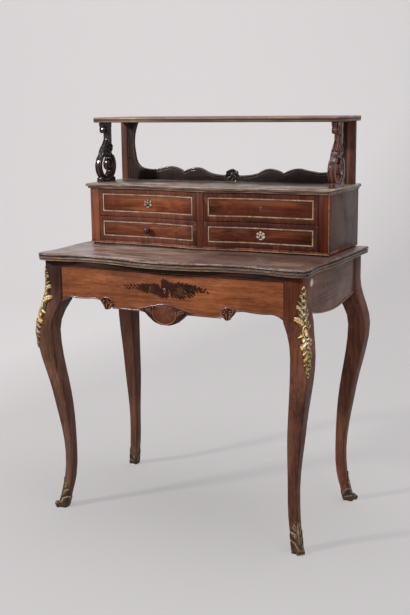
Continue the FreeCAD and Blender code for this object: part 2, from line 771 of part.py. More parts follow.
def make_small_drawer(name):
    hand, seat_z, ceiling_z = DRAWERS[name]
    upper = name.startswith("upper")
    z0 = split_z + small_gap if upper else bay_z + small_gap / 2
    z1 = case_roof - small_gap if upper else split_z
    x0, x1 = half_centre + small_gap / 2, inside_x - small_gap / 2
    face = bowed_slab(CASE, case_front_y, x0, x1, 0, small_front, z0, z1)
    m, w = string_margin, string_width
    outer = bowed_slab(CASE, case_front_y, x0 + m, x1 - m, -string_relief, string_inlay, z0 + m, z1 - m)
    inner = bowed_slab(CASE, case_front_y, x0 + m + w, x1 - m - w, -case_bulge, small_front,
                       z0 + m + w, z1 - m - w)
    string = outer.cut(inner)
    face = face.cut(string)
    centre = V(small_mid_x, case_front_y - case_bow(small_mid_x), (z0 + z1) / 2)
    low = seat_z + seat_gap
    high = min(ceiling_z, z1) - small_headroom
    back_y = rear - case_board - small_back_gap
    a, b = x0 + small_box_inset, x1 - small_box_inset
    behind = bowed_slab(CASE, case_front_y, x0, x1, -case_width, small_front, low, high)
    near_y = case_front_y - case_bulge
    c, d = a + small_side, b - small_side
    sides = [box(a, c, near_y, back_y, low, high).cut(behind), box(d, b, near_y, back_y, low, high).cut(behind)]
    rear_board = box(c, d, back_y - small_side, back_y, low, high)
    floor_z = low + small_bottom_rise
    floor_board = box(c, d, near_y, back_y - small_side, floor_z, floor_z + small_bottom)
    pieces = {"box": sides + [rear_board, floor_board.cut(behind)], "stringing": [string]}
    if name != "lower_left":
        lock = lock_body(centre, centre.y + small_front)
        face = face.cut(lock).cut(keyhole_cut(centre, small_front - lock_depth + 1))
        pieces["lock"] = [lock]
    if name in ("upper_left", "lower_right"):
        pieces["escutcheon"] = [make_escutcheon(centre)]
    if name == "lower_left":
        pieces["knob"] = [make_knob(centre)]
        face = face.cut(pieces["knob"][0])
    pieces["front"] = [face]
    if hand < 0:
        pieces = {key: [mirrored(s) for s in solids] for key, solids in pieces.items()}
    return pieces


def lobed_edges(centre, half_width, half_height, lobes, depth):
    """Outline of equal lobes in the plane of a front, four short sides to each lobe."""
    points = []
    for i in range(4 * lobes):
        swell = 1 - depth * (0.0, 0.3, 1.0, 0.3)[i % 4]
        angle = math.pi * (0.5 + i / (2 * lobes))
        reach = V(half_width * math.cos(angle), 0, half_height * math.sin(angle))
        points.append(centre + reach * swell)
    return polyline(points + points[:1])


def make_escutcheon(centre):
    """Lobed rocaille plate with its keyhole, laid on the drawer front."""
    far = escutcheon_thickness + escutcheon_gap
    reach = far + case_bulge
    edges = lobed_edges(centre - V(0, reach, 0), escutcheon_width / 2, escutcheon_height / 2, 7, 0.14)
    half = escutcheon_width
    skin = bowed_slab(CASE, case_front_y, centre.x - half, centre.x + half, -far, -escutcheon_gap,
                      centre.z - half, centre.z + half)
    plate = solid_from(edges, V(0, 2 * reach, 0)).common(skin)
    return plate.cut(keyhole_cut(centre - V(0, far, 0), small_front))


def make_knob(centre):
    """Turned knob on a shank let into the front."""
    r = knob_diameter / 2
    y0 = centre.y
    profile = [(r * 0.3, y0 - knob_length), (r * 0.78, y0 - knob_length * 0.88), (r, y0 - knob_length * 0.64),
               (r * 0.8, y0 - knob_length * 0.4), (r * 0.42, y0 - knob_length * 0.2), (r * 0.62, y0)]
    shank = [(r * 0.35, y0), (r * 0.35, y0 + small_front * 0.7)]
    rings = []
    for radius, y in profile + shank:
        turns = steps(0, 2 * math.pi, knob_sides)[:-1]
        rings.append([V(centre.x + radius * math.cos(a), y, centre.z + radius * math.sin(a)) for a in turns])
    return faceted(rings)


for name in DRAWERS:
    SMALL[name] = make_small_drawer(name)

# Open shelf
shelf_back_y = case_back_y - shelf_back_inset
half_shelf = half_case + shelf_lip


def shelf_outline(inset, z):
    x, y = half_shelf - inset, shelf_front_y + inset
    corners = [V(-x, y, z), V(x, y, z), V(x, shelf_back_y, z), V(-x, shelf_back_y, z)]
    return polyline(corners + corners[:1])


shelf_flat = shelf_thickness - 2 * shelf_round
lower_round = nose(0.0, 0.0, shelf_round)
shelf_rim = [(inset, shelf_bottom + shelf_round - rise) for inset, rise in reversed(lower_round)]
shelf_rim += [(inset, shelf_bottom + shelf_round + shelf_flat + rise) for inset, rise in lower_round]
shelf = moulded_plate(shelf_outline, shelf_rim)

post_back_y = case_back_y - post_inset
post_outer = half_shelf - post_end_inset
post = box(post_outer - post_width, post_outer, post_back_y - post_depth, post_back_y, deck, shelf_bottom)
post_inner = post_outer - post_width


def make_fret():
    """Back board with a wavy crest and ends that sweep up to the shelf."""
    y = post_back_y - fret_thickness
    ear_x = post_inner - fret_ear

    def at(along, rise):
        """Point on the crest, by its share of the way out to the ears and of the way up from low to peak."""
        return V(ear_x * along, y, deck + fret_low + (fret_peak - fret_low) * rise)
    inner_wave = [at(0.08, 0.0), at(0.18, 0.13), at(0.37, 0.91), at(0.485, 0.38)]
    tip = V(ear_x - ear_flare, y, shelf_bottom)
    outer_wave = [inner_wave[-1], at(0.607, 1.0), at(0.736, 0.73), at(0.837, 0.58), at(0.945, 1.0),
                  V(ear_x, y, deck + shelf_rise * 0.52), tip]
    right = curve(inner_wave) + curve(outer_wave)
    left = [mirrored(edge) for edge in right]
    ends = polyline([tip, V(post_inner, y, shelf_bottom), V(post_inner, y, deck), V(-post_inner, y, deck),
                     V(-post_inner, y, shelf_bottom), V(-tip.x, y, shelf_bottom)])
    dip = inner_wave[0]
    span = Part.makeLine(V(-dip.x, y, dip.z), dip)
    outline = Part.Wire(Part.__sortEdges__(left + [span] + right + ends))
    return Part.Face(outline).extrude(V(0, fret_thickness, 0))


def make_flower():
    """Carved flower over the middle of the back board."""
    centre = V(0, post_back_y - fret_thickness - flower_relief, deck + flower_radius * 0.98)
    edges = lobed_edges(centre, flower_radius * 1.15, flower_radius * 0.98, 7, 0.14)
    return solid_from(edges, V(0, flower_relief + fret_thickness * 0.5, 0))


fret = make_fret()
flower = make_flower()
fret = fret.cut(flower)


def make_console():
    """Openwork scroll bracket: capital over a beak, slim neck, knot, large open scroll and foot."""
    x0 = half_shelf - console_end_inset - console_thickness
    y_top = shelf_front_y + console_front_inset
    push = V(console_thickness, 0, 0)
    r = console_loop
    loop_y = y_top - console_lean
    loop_z = deck + foot_height * 0.25 + r
    neck_front = y_top + neck_set - neck_depth / 2
    neck_back = neck_front + neck_depth
    neck_z = loop_z + r * 1.77
    knot_z = loop_z + r + knot_width * 0.25

    def disc(y, z, ry, rz):
        sides = 12 if ry < console_band else 32
        ring = [V(x0, y + ry * math.cos(a), z + rz * math.sin(a)) for a in steps(0, 2 * math.pi, sides)[:-1]]
        return solid_from(polyline(ring + ring[:1]), push)

    def block(y0, y1, z0, z1):
        return box(x0, x0 + console_thickness, y0, y1, z0, z1)

    def on_loop(along, up):
        """Point by shares of the large scroll's radius from its middle."""
        return V(x0, loop_y + r * along, loop_z + r * up)
    loop = disc(loop_y, loop_z, r, r)
    hole = disc(loop_y - r * 0.14, loop_z, r - console_band * 1.1, r - console_band * 0.85)
    curl = disc(loop_y + r * 0.36, loop_z + r * 0.1, r * 0.36, r * 0.42)
    knot = disc(neck_back - knot_width * 0.2, knot_z, knot_width / 2, knot_width / 2)
    breast = [V(x0, neck_front, neck_z), on_loop(-0.14, 1.37), on_loop(-0.5, 1.07), on_loop(-0.66, 0.7)]
    limb_back = [breast[-1], on_loop(0.3, 0.8), V(x0, neck_back, knot_z), V(x0, neck_back, neck_z), breast[0]]
    limb = solid_from(curve(breast) + polyline(limb_back), push)
    capital_front = y_top - capital_depth / 2
    capital_z = shelf_bottom - foot_height
    beak = disc(capital_front + beak_width / 2, capital_z - beak_height * 0.4, beak_width / 2, beak_height / 2)
    neck = block(neck_front, neck_back, neck_z, shelf_bottom)
    capital = block(capital_front, capital_front + capital_depth, capital_z, shelf_bottom)
    foot = block(loop_y - r * 0.8, loop_y + r * 0.85, deck, deck + foot_height)
    body = loop.cut(hole).fuse([curl, knot, limb, beak, neck, capital, foot])
    return body.removeSplitter()


console = make_console()

# Output
os.makedirs("parts", exist_ok=True)
for name in LEGS:
    save("leg_" + name, LEGS[name])
    save("sabot_" + name, SABOTS[name])
save("corner_mount_left", CHUTES["front_left"])
save("corner_mount_right", CHUTES["front_right"])
save("side_apron_left", mirrored(side_apron))
save("side_apron_right", side_apron)
save("back_apron", back_apron)
save("front_rail", front_rail)
save("drawer_runners", mirrored(runner), runner)
save("slide_bearers", mirrored(bearer), bearer)
save("table_top", table_top)
save("top_frame", top_frame)
save("writing_slide", writing_slide)
save("main_drawer_front", main_front)
save("main_drawer_sides", *main_sides)
save("main_drawer_back", main_back)
save("main_drawer_bottom", main_bottom)
save("main_drawer_lock", main_lock)
save("apron_shell", shell)
save("apron_leaves", *leaves)
save("gradin_plinth", plinth)
save("gradin_bottom", case_bottom)
save("gradin_side_left", mirrored(side_panel))
save("gradin_side_right", side_panel)
save("gradin_stiles", mirrored(stile), stile)
save("gradin_back", case_back)
save("gradin_divider", divider)
save("gradin_dustboards", mirrored(dust_board), dust_board, *[mirrored(g) for g in GUIDES], *GUIDES)
save("gradin_top", case_top_board)
for name, pieces in SMALL.items():
    for piece, solids in pieces.items():
        save("%s_%s" % (name, piece), *solids)
save("shelf", shelf)
save("back_post_left", mirrored(post))
save("back_post_right", post)
save("fret_board", fret)
save("fret_carving", flower)
save("console_left", mirrored(console))
save("console_right", console)
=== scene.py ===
import json
import math

import bmesh
import bpy
from mathutils import Matrix, Vector

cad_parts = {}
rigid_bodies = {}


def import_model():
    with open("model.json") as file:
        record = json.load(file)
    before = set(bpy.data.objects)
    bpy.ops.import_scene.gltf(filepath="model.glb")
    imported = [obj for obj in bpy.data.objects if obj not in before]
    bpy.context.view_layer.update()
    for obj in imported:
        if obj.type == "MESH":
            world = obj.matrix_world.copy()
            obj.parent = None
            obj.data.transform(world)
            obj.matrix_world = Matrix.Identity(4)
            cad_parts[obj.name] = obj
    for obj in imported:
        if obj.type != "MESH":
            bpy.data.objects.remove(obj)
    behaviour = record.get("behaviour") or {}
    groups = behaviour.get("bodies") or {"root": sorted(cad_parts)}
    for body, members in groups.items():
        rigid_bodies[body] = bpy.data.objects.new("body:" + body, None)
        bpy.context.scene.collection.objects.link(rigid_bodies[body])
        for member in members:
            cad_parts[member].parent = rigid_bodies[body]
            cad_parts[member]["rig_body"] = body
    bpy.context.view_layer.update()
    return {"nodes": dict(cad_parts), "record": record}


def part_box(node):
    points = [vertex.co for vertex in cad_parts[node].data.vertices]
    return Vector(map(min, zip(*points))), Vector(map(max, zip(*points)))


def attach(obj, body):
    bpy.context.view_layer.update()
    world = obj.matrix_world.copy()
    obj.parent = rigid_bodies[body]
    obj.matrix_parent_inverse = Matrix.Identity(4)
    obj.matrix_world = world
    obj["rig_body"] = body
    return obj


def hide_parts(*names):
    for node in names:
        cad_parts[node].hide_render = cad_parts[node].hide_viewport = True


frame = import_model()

# Values used in many places, with lengths in metres and angles in degrees
ROOT_HALF = math.sqrt(0.5)
FRONT = Vector((0, -1, 0))
CORNERS = ("front_left", "front_right", "back_left", "back_right")
SMALL_DRAWERS = ("upper_left", "upper_right", "lower_left", "lower_right")
CREASE, BEAD_CREASE, SOFT_CREASE = 32, 50, 60


# Colours and shader building
def srgb(r, g, b):
    """Linear colour from 0-255 screen values."""
    def lin(v):
        v /= 255
        return v / 12.92 if v <= 0.04045 else ((v + 0.055) / 1.055) ** 2.4
    return (lin(r), lin(g), lin(b), 1.0)


class Nodes:
    """Adds nodes to a tree, each fed with plain values or with the sockets of other nodes."""

    def __init__(self, tree):
        self.tree = tree

    def feed(self, socket, value):
        if isinstance(value, bpy.types.NodeSocket):
            self.tree.links.new(value, socket)
        else:
            socket.default_value = value

    def node(self, kind, feeds=None, **settings):
        n = self.tree.nodes.new(kind)
        for key, value in settings.items():
            setattr(n, key, value)
        for key, value in (feeds or {}).items():
            self.feed(n.inputs[key], value)
        return n

    def result(self, kind, feeds=None, **settings):
        """First output of a new node."""
        return self.node(kind, feeds, **settings).outputs[0]

    def math(self, how, a, b=0.0, c=0.0):
        return self.result("ShaderNodeMath", {0: a, 1: b, 2: c}, operation=how)


class Finish(Nodes):
    """Small builder for one procedural material."""

    def __init__(self, name):
        self.mat = bpy.data.materials.new(name)
        self.mat.use_nodes = True
        super().__init__(self.mat.node_tree)
        self.shader = self.tree.nodes["Principled BSDF"]
        self.where = self.node("ShaderNodeTexCoord").outputs["Object"]

    def axis(self, name):
        return self.node("ShaderNodeSeparateXYZ", {0: self.where}).outputs[name]

    def across(self):
        """Place from left to right, moved by half a metre because a ramp reads only 0 to 1."""
        return self.math("ADD", self.axis("X"), 0.5)

    def place(self, scale, shift=(0, 0, 0)):
        feeds = {"Vector": self.where, "Scale": scale, "Location": shift}
        return self.result("ShaderNodeMapping", feeds)

    def noise(self, scale, detail=3.0, rough=0.5, warp=0.0, shift=(0, 0, 0)):
        """Noise with so many patches to a metre along each axis."""
        feeds = {"Vector": self.place(scale, shift), "Scale": 1.0, "Detail": detail}
        return self.result("ShaderNodeTexNoise", {**feeds, "Roughness": rough, "Distortion": warp})

    def cloud(self, size, detail=5, rough=0.65, shift=(0, 0, 0)):
        """Even noise with this many patches to a metre."""
        return self.noise((size, size, size), detail, rough, 0.5, shift)

    def ramp(self, fac, *stops):
        n = self.node("ShaderNodeValToRGB", {0: fac})
        spots = n.color_ramp.elements
        while len(spots) < len(stops):
            spots.new(0.5)
        for spot, (at, colour) in zip(spots, stops):
            spot.position = at
            spot.color = (*colour[:3], 1) if isinstance(colour, tuple) else (colour, colour, colour, 1)
        return n.outputs[0]

    def mix(self, fac, a, b, how="MIX"):
        return self.node("ShaderNodeMix", {0: fac, 6: a, 7: b}, data_type="RGBA", blend_type=how).outputs[2]

    def times(self, colour, tone):
        """Colour multiplied by a tone."""
        return self.mix(1.0, colour, tone, "MULTIPLY")

    def toned(self, colour, value, *stops):
        """Colour multiplied by a ramp of tones."""
        return self.times(colour, self.ramp(value, *stops))

    def patched(self, colour, noise, start, end, amount, tone):
        """Colour with patches of another one where a noise runs high."""
        return self.mix(self.ramp(noise, (start, 0.0), (end, amount)), colour, srgb(*tone))

    def tinted(self, part, colour, tone):
        """Colour multiplied by a tone in one part only."""
        return self.mix(part, colour, self.times(colour, tone))

    def above(self, value, level):
        return self.math("GREATER_THAN", value, level)

    def below(self, value, level):
        return self.math("LESS_THAN", value, level)

    def share(self, value, low, high):
        """How far a value has come from low to high."""
        return self.math("DIVIDE", self.math("SUBTRACT", value, low), high - low)

    def bump(self, height, depth, strength):
        n = self.result("ShaderNodeBump", {"Strength": strength, "Distance": depth, "Height": height})
        self.feed(self.shader.inputs["Normal"], n)

    def relief(self):
        return self.node("ShaderNodeAttribute", attribute_name="relief").outputs["Fac"]

    def done(self, **sockets):
        for name, value in sockets.items():
            self.feed(self.shader.inputs[name.replace("_", " ")], value)
        return self.mat


# Timber
def timber(f, grain, tones, figure=1.0, shift=(0, 0, 0)):
    """Colour of a veneer whose grain runs along one axis, and the height of its pores."""
    def stretched(along, across):
        return tuple(along if axis == grain else across for axis in "XYZ")
    dark, mid, light = [srgb(*tone) for tone in tones]
    broad = f.noise(stretched(1.6, 16 * figure), 6, 0.62, 0.9, shift)
    streak = f.noise(stretched(6, 190), 4, 0.62, 0.3, shift)
    pores = f.noise(stretched(30, 950), 2, 0.5, 0.0, shift)
    blend = f.math("MULTIPLY_ADD", broad, 0.55, f.math("MULTIPLY", streak, 0.45))
    colour = f.ramp(blend, (0.37, dark), (0.49, mid), (0.62, light))
    colour = f.mix(0.6, colour, f.ramp(pores, (0.30, 0.5), (0.46, 1.0)), "MULTIPLY")
    colour = f.toned(colour, f.cloud(6, 4, 0.6, shift), (0.32, 0.62), (0.68, 1.2))
    return colour, f.math("MULTIPLY_ADD", pores, 0.7, streak)


def lacquer(f, colour, rough, coat, sheen, blur=0.1):
    return f.done(Base_Color=colour, Roughness=rough, Coat_Weight=coat, Coat_Roughness=blur, IOR=1.5,
                  Specular_IOR_Level=sheen)


def polish(f, colour, pores, gloss, coat=0.02, sheen=0.12, blur=0.16):
    """Lacquer over open pores, duller in patches."""
    f.bump(pores, 0.0004, 0.16)
    rough = f.ramp(f.cloud(14), (0.3, gloss * 0.8), (0.75, gloss * 1.5))
    return lacquer(f, colour, rough, coat, sheen, blur)


def rubbed(f, colour, tone, amount, size=9, start=0.56):
    """Patches where the polish is rubbed to another tone."""
    return f.patched(colour, f.cloud(size, 6, 0.7, (3, 1, 2)), start, start + 0.18, amount, tone)


def veneer(name, grain, tones, figure=1.0, gloss=0.4, worn=None, wear=0.25, coat=0.02, sheen=0.12):
    """Polished veneer with rubbed patches."""
    f = Finish(name)
    colour, pores = timber(f, grain, tones, figure)
    colour = rubbed(f, colour, worn or tones[2], wear)
    return polish(f, colour, pores, gloss, coat, sheen)


def paired_boards(name, left_tones, right_tones, figure, gloss, shift):
    """Upright boards of two tones, one left of the middle and one right of it."""
    f = Finish(name)
    left, pores = timber(f, "Z", left_tones, figure)
    right, _ = timber(f, "Z", right_tones, figure, shift)
    return polish(f, f.mix(f.above(f.axis("X"), 0.0), left, right), pores, gloss)


def drawer_veneer():
    """Main drawer front: orange veneer with short dark flecks, painted darker at its left end and lighter at
    its right.
    """
    f = Finish("drawer_front_veneer")
    colour, pores = timber(f, "X", [(94, 47, 26), (123, 69, 40), (146, 88, 54)], 1.6)
    flecks = f.noise((48, 420, 420), 3, 0.6, 0.4, (2, 0, 5))
    colour = f.toned(colour, flecks, (0.36, 0.66), (0.5, 1.05))
    colour = rubbed(f, colour, (148, 91, 56), 0.25)
    # Painted light: darker at the left end and lighter at the right, evening out the light across the front.
    colour = f.toned(colour, f.across(), (0.15, 0.84), (0.85, 1.2))
    return polish(f, colour, pores, 0.42)


def inside_stringing(f):
    """How far inside the outer edge of its stringing a point of a small drawer front lies."""
    def from_ends(value, low, high):
        return f.math("MINIMUM", f.math("SUBTRACT", value, low), f.math("SUBTRACT", high, value))

    low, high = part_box("lower_right_stringing")
    upper_low, upper_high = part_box("upper_right_stringing")
    z = f.axis("Z")
    rows = f.math("MAXIMUM", from_ends(z, low.z, high.z), from_ends(z, upper_low.z, upper_high.z))
    aside = f.math("ABSOLUTE", f.axis("X"))
    return f.math("MINIMUM", from_ends(aside, low.x, high.x), rows)


def banded_fronts():
    """Small drawer fronts: a warm field, dark at its ends, with a cross band outside the stringing."""
    f = Finish("small_front_veneer")
    low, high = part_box("lower_right_stringing")
    between_rows = (high.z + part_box("upper_right_stringing")[0].z) / 2
    band, _ = timber(f, "Z", [(58, 27, 21), (82, 42, 33), (106, 62, 50)], 0.45)
    band = rubbed(f, band, (140, 92, 76), 0.5, 30)
    field, pores = timber(f, "X", [(54, 23, 13), (94, 47, 27), (132, 76, 44)], 1.2)
    along = f.share(f.math("ABSOLUTE", f.axis("X")), low.x, high.x)
    field = f.toned(field, along, (0.0, 0.62), (0.2, 1.06), (0.78, 1.06), (1.0, 0.58))
    field = f.patched(field, f.cloud(16, 4, 0.6, (3, 1, 4)), 0.46, 0.62, 0.5, (96, 44, 38))
    colour = f.mix(f.above(inside_stringing(f), 0.0), band, field)
    colour = rubbed(f, colour, (150, 92, 52), 0.25)
    darker_right = ((0.495, 1.0), (0.505, (0.88, 0.83, 0.83)), (0.86, (0.74, 0.68, 0.7)))
    colour = f.toned(colour, f.across(), *darker_right)
    colour = f.tinted(f.above(f.axis("Z"), between_rows), colour, (1.28, 1.28, 1.04, 1))
    return polish(f, colour, pores, 0.42)


def moulded_shelf():
    """Shelf whose moulded edge is painted with shade at its foot and in its cove, and with highlights on its
    rounds.
    """
    f = Finish("shelf_veneer")
    low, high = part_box("shelf")
    z = f.axis("Z")
    colour, pores = timber(f, "X", [(58, 41, 34), (92, 69, 59), (126, 101, 89)], 1.0)
    colour = rubbed(f, colour, (154, 134, 120), 0.5)
    # Painted shade at the foot of the edge and in its cove, and painted highlights on the rounds below and
    # above it.
    moulding_light_and_shade = ((0.0, 0.5), (0.14, 1.3), (0.36, 1.2), (0.44, 0.2), (0.62, 0.24), (0.7, 1.6))
    colour = f.toned(colour, f.share(z, low.z, high.z), *moulding_light_and_shade)
    skin = 0.0006
    colour = f.tinted(f.above(z, high.z - skin), colour, (0.55, 0.48, 0.46, 1))
    return polish(f, colour, pores, 0.45, 0.05, 0.2)


def banded_top():
    """Table top: long grain in its field, a cross band round it, a dark line between, a pale bloom of wear
    and painted sheen.
    """
    f = Finish("polished_top")
    low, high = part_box("table_top")
    band_width, line_half, worn_rim, skin = 0.041, 0.0012, 0.007, 0.001
    serpentine, middle_ahead, corner_round = 0.05, 0.82, 0.03
    y = f.axis("Y")
    aside = f.math("ABSOLUTE", f.axis("X"))
    bow = f.node("ShaderNodeFloatCurve", {"Value": f.math("DIVIDE", aside, high.x - corner_round)})
    curve = bow.mapping.curves[0]
    curve.points[0].location = (0.0, middle_ahead)
    curve.points[1].location = (1.0, 0.52)
    for along, ahead in ((0.31, 0.51), (0.63, 0.2), (0.82, 0.38)):
        curve.points.new(along, ahead)
    bow.mapping.update()
    behind_nose = f.math("SUBTRACT", y, low.y + middle_ahead * serpentine)
    from_front = f.math("MULTIPLY_ADD", bow.outputs[0], serpentine, behind_nose)
    from_side = f.math("SUBTRACT", high.x, aside)
    lengthwise = f.math("MINIMUM", from_front, f.math("SUBTRACT", high.y, y))
    rim = f.math("MINIMUM", from_side, lengthwise)
    field, pores = timber(f, "X", [(40, 24, 20), (70, 47, 39), (104, 77, 66)], 0.8)
    band_tones = [(38, 22, 19), (62, 37, 31), (88, 57, 47)]
    band, _ = timber(f, "Y", band_tones, 2.0)
    end_band, _ = timber(f, "X", band_tones, 2.0, (2, 5, 1))
    band = f.mix(f.below(from_side, lengthwise), band, end_band)
    colour = f.mix(f.below(rim, band_width), field, band)
    off_line = f.math("ABSOLUTE", f.math("SUBTRACT", rim, band_width))
    colour = f.mix(f.below(off_line, line_half), colour, srgb(24, 14, 12))
    # Pale bloom, partly wear and partly painted sheen, strongest on the left and in the middle of the top.
    bloom = f.ramp(f.noise((4, 15, 4), 7, 0.72, 0.6, (3, 1, 2)), (0.42, 0.0), (0.60, 0.78))
    wear_and_sheen_side = f.ramp(f.across(), (0.18, 0.55), (0.26, 1.0), (0.46, 1.0), (0.58, 0.14))
    colour = f.mix(f.math("MULTIPLY", bloom, wear_and_sheen_side), colour, srgb(156, 136, 126))
    stains = f.noise((7, 22, 7), 5, 0.65, 0.8, (6, 2, 4))
    colour = f.toned(colour, stains, (0.34, 0.45), (0.48, 1.0))
    scuffs = f.noise((26, 210, 26), 5, 0.7, 0.8, (1, 4, 2))
    colour = f.patched(colour, scuffs, 0.56, 0.72, 0.3, (160, 138, 122))
    nicks = f.ramp(f.cloud(42, 4, 0.7), (0.48, 0.0), (0.64, 0.7))
    colour = f.mix(f.math("MULTIPLY", f.below(rim, worn_rim), nicks), colour, srgb(146, 122, 100))
    # The top's edges below its surface: dark timber and painted shade of the quirk under the nose, with pale
    # nicks.
    edge = f.mix(f.math("MULTIPLY", nicks, 0.35), srgb(34, 18, 14), srgb(140, 118, 100))
    colour = f.mix(f.below(f.axis("Z"), high.z - skin), colour, edge)
    coat = f.ramp(rim, (0.003, 0.02), (0.008, 0.4))
    return polish(f, colour, pores, 0.36, coat, 0.4, 0.26)


def beaded_edge():
    """Edge of the frame and slide under the top: two rubbed beads with painted highlights, and painted shade
    in the quirks.
    """
    f = Finish("edge_moulding")
    low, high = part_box("top_frame")
    slide_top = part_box("writing_slide")[1].z
    skin = 0.0004
    z = f.axis("Z")
    # Painted shade: the dark tone in the quirks between, above and below the beads.
    dark, pores = timber(f, "X", [(8, 4, 3), (19, 10, 7), (36, 21, 15)], 1.4)
    # Rubbed beads with painted highlights, dimmed along the right side.
    light, _ = timber(f, "X", [(98, 68, 50), (164, 130, 103), (222, 192, 158)], 1.4, (2, 3, 1))
    light = f.toned(light, f.across(), (0.880, 1.0), (0.892, 0.3))
    beads = f.ramp(f.share(z, low.z, high.z), (0.05, 0.0), (0.11, 1.0), (0.18, 1.0), (0.24, 0.0),
                   (0.58, 0.0), (0.64, 1.0), (0.71, 1.0), (0.77, 0.0))
    board, _ = timber(f, "X", [(52, 30, 22), (86, 54, 42), (116, 80, 64)], 0.8, (5, 1, 4))
    colour = f.mix(f.above(z, slide_top - skin), f.mix(beads, dark, light), board)
    return polish(f, colour, pores, 0.34, 0.2, 0.3)


def worn_case_top():
    """Case top: worn grey brown with painted sheen above, and painted shade on its moulded edge, streaked
    with wear.
    """
    f = Finish("worn_case_top")
    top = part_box("gradin_top")[1].z
    skin = 0.0012
    # The top's pale tones are partly worn finish and partly painted sheen.
    colour, pores = timber(f, "X", [(66, 50, 44), (118, 99, 90), (158, 140, 129)], 0.9)
    colour = rubbed(f, colour, (186, 170, 158), 0.7)
    colour = f.toned(colour, f.noise((34, 80, 34), 5, 0.75, 0.8), (0.42, 0.22), (0.5, 1.0))
    streaks = f.noise((12, 12, 240), 5, 0.7, 0.8, (2, 1, 3))
    # The moulded edge below the top is painted dark as its shade, and streaked with wear.
    edge = f.patched(srgb(42, 26, 20), streaks, 0.46, 0.6, 0.7, (160, 132, 112))
    colour = f.mix(f.below(f.axis("Z"), top - skin), colour, edge)
    return polish(f, colour, pores, 0.4, 0.2, 0.4)


def pale_spotted(f, colour):
    """Pale spot on the veneer where the right apron meets its front leg."""
    place, squeeze = (0.3817, -0.1525, 0.6985), (0.3, 0.65, 0.8)
    centre = [a * b for a, b in zip(place, squeeze)]
    away = f.node("ShaderNodeVectorMath", {0: f.place(squeeze), 1: centre}, operation="DISTANCE")
    ragged = f.math("MULTIPLY_ADD", f.cloud(160, 3), 0.004, away.outputs["Value"])
    return f.mix(f.ramp(ragged, (0.0075, 0.9), (0.0100, 0.0)), colour, srgb(222, 214, 204))


def apron_timber():
    """Side aprons, dull and greyer than the legs."""
    f = Finish("apron_veneer")
    colour, pores = timber(f, "Y", [(67, 42, 33), (97, 66, 53), (127, 92, 76)], 0.6)
    colour = rubbed(f, colour, (127, 92, 76), 0.3)
    return polish(f, pale_spotted(f, colour), pores, 0.4, 0.06, 0.3)


def leg_timber():
    """Leg veneer, toned in its own way up each leg (the front right one only on its front face), with
    painted shade high on the left legs.
    """
    f = Finish("leg_timber")
    x, y, z = [f.axis(name) for name in "XYZ"]
    colour, pores = timber(f, "Z", [(58, 31, 21), (90, 53, 39), (118, 77, 58)], 0.7)
    colour = rubbed(f, colour, (136, 96, 72), 0.3)
    at_left, at_right = f.below(x, 0.0), f.above(x, 0.0)
    at_front, at_back = f.below(y, 0.0), f.above(y, 0.0)
    low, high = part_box("leg_front_right")
    before_arris = f.below(f.math("ADD", x, y), high.x + low.y)
    front_face = f.math("MULTIPLY", at_front, before_arris)
    # Front left: toned up the leg, and painted dark at its top as the shade under the table top.
    front_left = ((0.13, (0.84, 1.12, 1.32)), (0.25, (0.86, 1.0, 1.2)), (0.37, (1.13, 1.42, 1.46)),
                  (0.49, (1.05, 1.28, 1.3)), (0.59, (0.62, 0.66, 0.66)), (0.65, (0.36, 0.32, 0.3)))
    # Back left: painted darker up the leg as the table's shadow on it.
    back_left = ((0.1, (0.9, 1.05, 1.15)), (0.3, (0.66, 0.62, 0.66)), (0.5, (0.3, 0.27, 0.26)))
    back_right = ((0.12, 1.1), (0.22, 1.35), (0.33, 0.85), (0.46, 0.82), (0.58, 1.0))
    front_right = ((0.5, 1.0), (0.62, (1.0, 0.65, 0.32)))
    for side, depth, tones in ((at_left, at_front, front_left), (at_left, at_back, back_left),
                               (at_right, at_back, back_right), (at_right, front_face, front_right)):
        colour = f.tinted(f.math("MULTIPLY", side, depth), colour, f.ramp(z, *tones))
    return polish(f, pale_spotted(f, colour), pores, 0.42, 0.02, 0.14)


def inlaid_leaves():
    """Stained leaf inlay, shaded in hot sand and darker on the right."""
    f = Finish("dark_inlay")
    x = f.axis("X")
    colour, pores = timber(f, "X", [(34, 15, 11), (58, 28, 20), (92, 50, 34)], 3.0)
    olive_patches = f.ramp(f.cloud(150, 3), (0.46, 0.0), (0.62, 0.7))
    olive = f.math("MULTIPLY", olive_patches, f.ramp(x, (0.01, 0.25), (0.04, 1.0)))
    colour = f.mix(olive, colour, srgb(92, 66, 32))
    colour = f.toned(colour, x, (0.02, (0.82, 0.6, 0.58)), (0.06, (0.4, 0.33, 0.24)))
    return polish(f, colour, pores, 0.45)


def bare_timber(name, tones):
    """Unpolished drawer and carcase timber."""
    f = Finish(name)
    colour, pores = timber(f, "X", tones, 1.6)
    colour = rubbed(f, colour, tones[0], 0.4, 6, 0.45)
    f.bump(pores, 0.0006, 0.3)
    return f.done(Base_Color=colour, Roughness=0.75)


def tool_marks(f):
    f.bump(f.noise((70, 70, 520), 3, 0.6), 0.0004, 0.2)


def carved_timber(name, deep, mid, ridge, gloss, coat, sheen):
    """Polished carving: its colour follows the carved relief."""
    f = Finish(name)
    tone = f.cloud(34)
    height = f.math("MULTIPLY_ADD", f.relief(), 0.75, f.math("MULTIPLY", tone, 0.45))
    colour = f.ramp(height, (0.3, srgb(*deep)), (0.68, srgb(*mid)), (1.0, srgb(*ridge)))
    tool_marks(f)
    return lacquer(f, colour, f.ramp(tone, (0.3, gloss * 0.8), (0.7, gloss * 1.5)), coat, sheen)


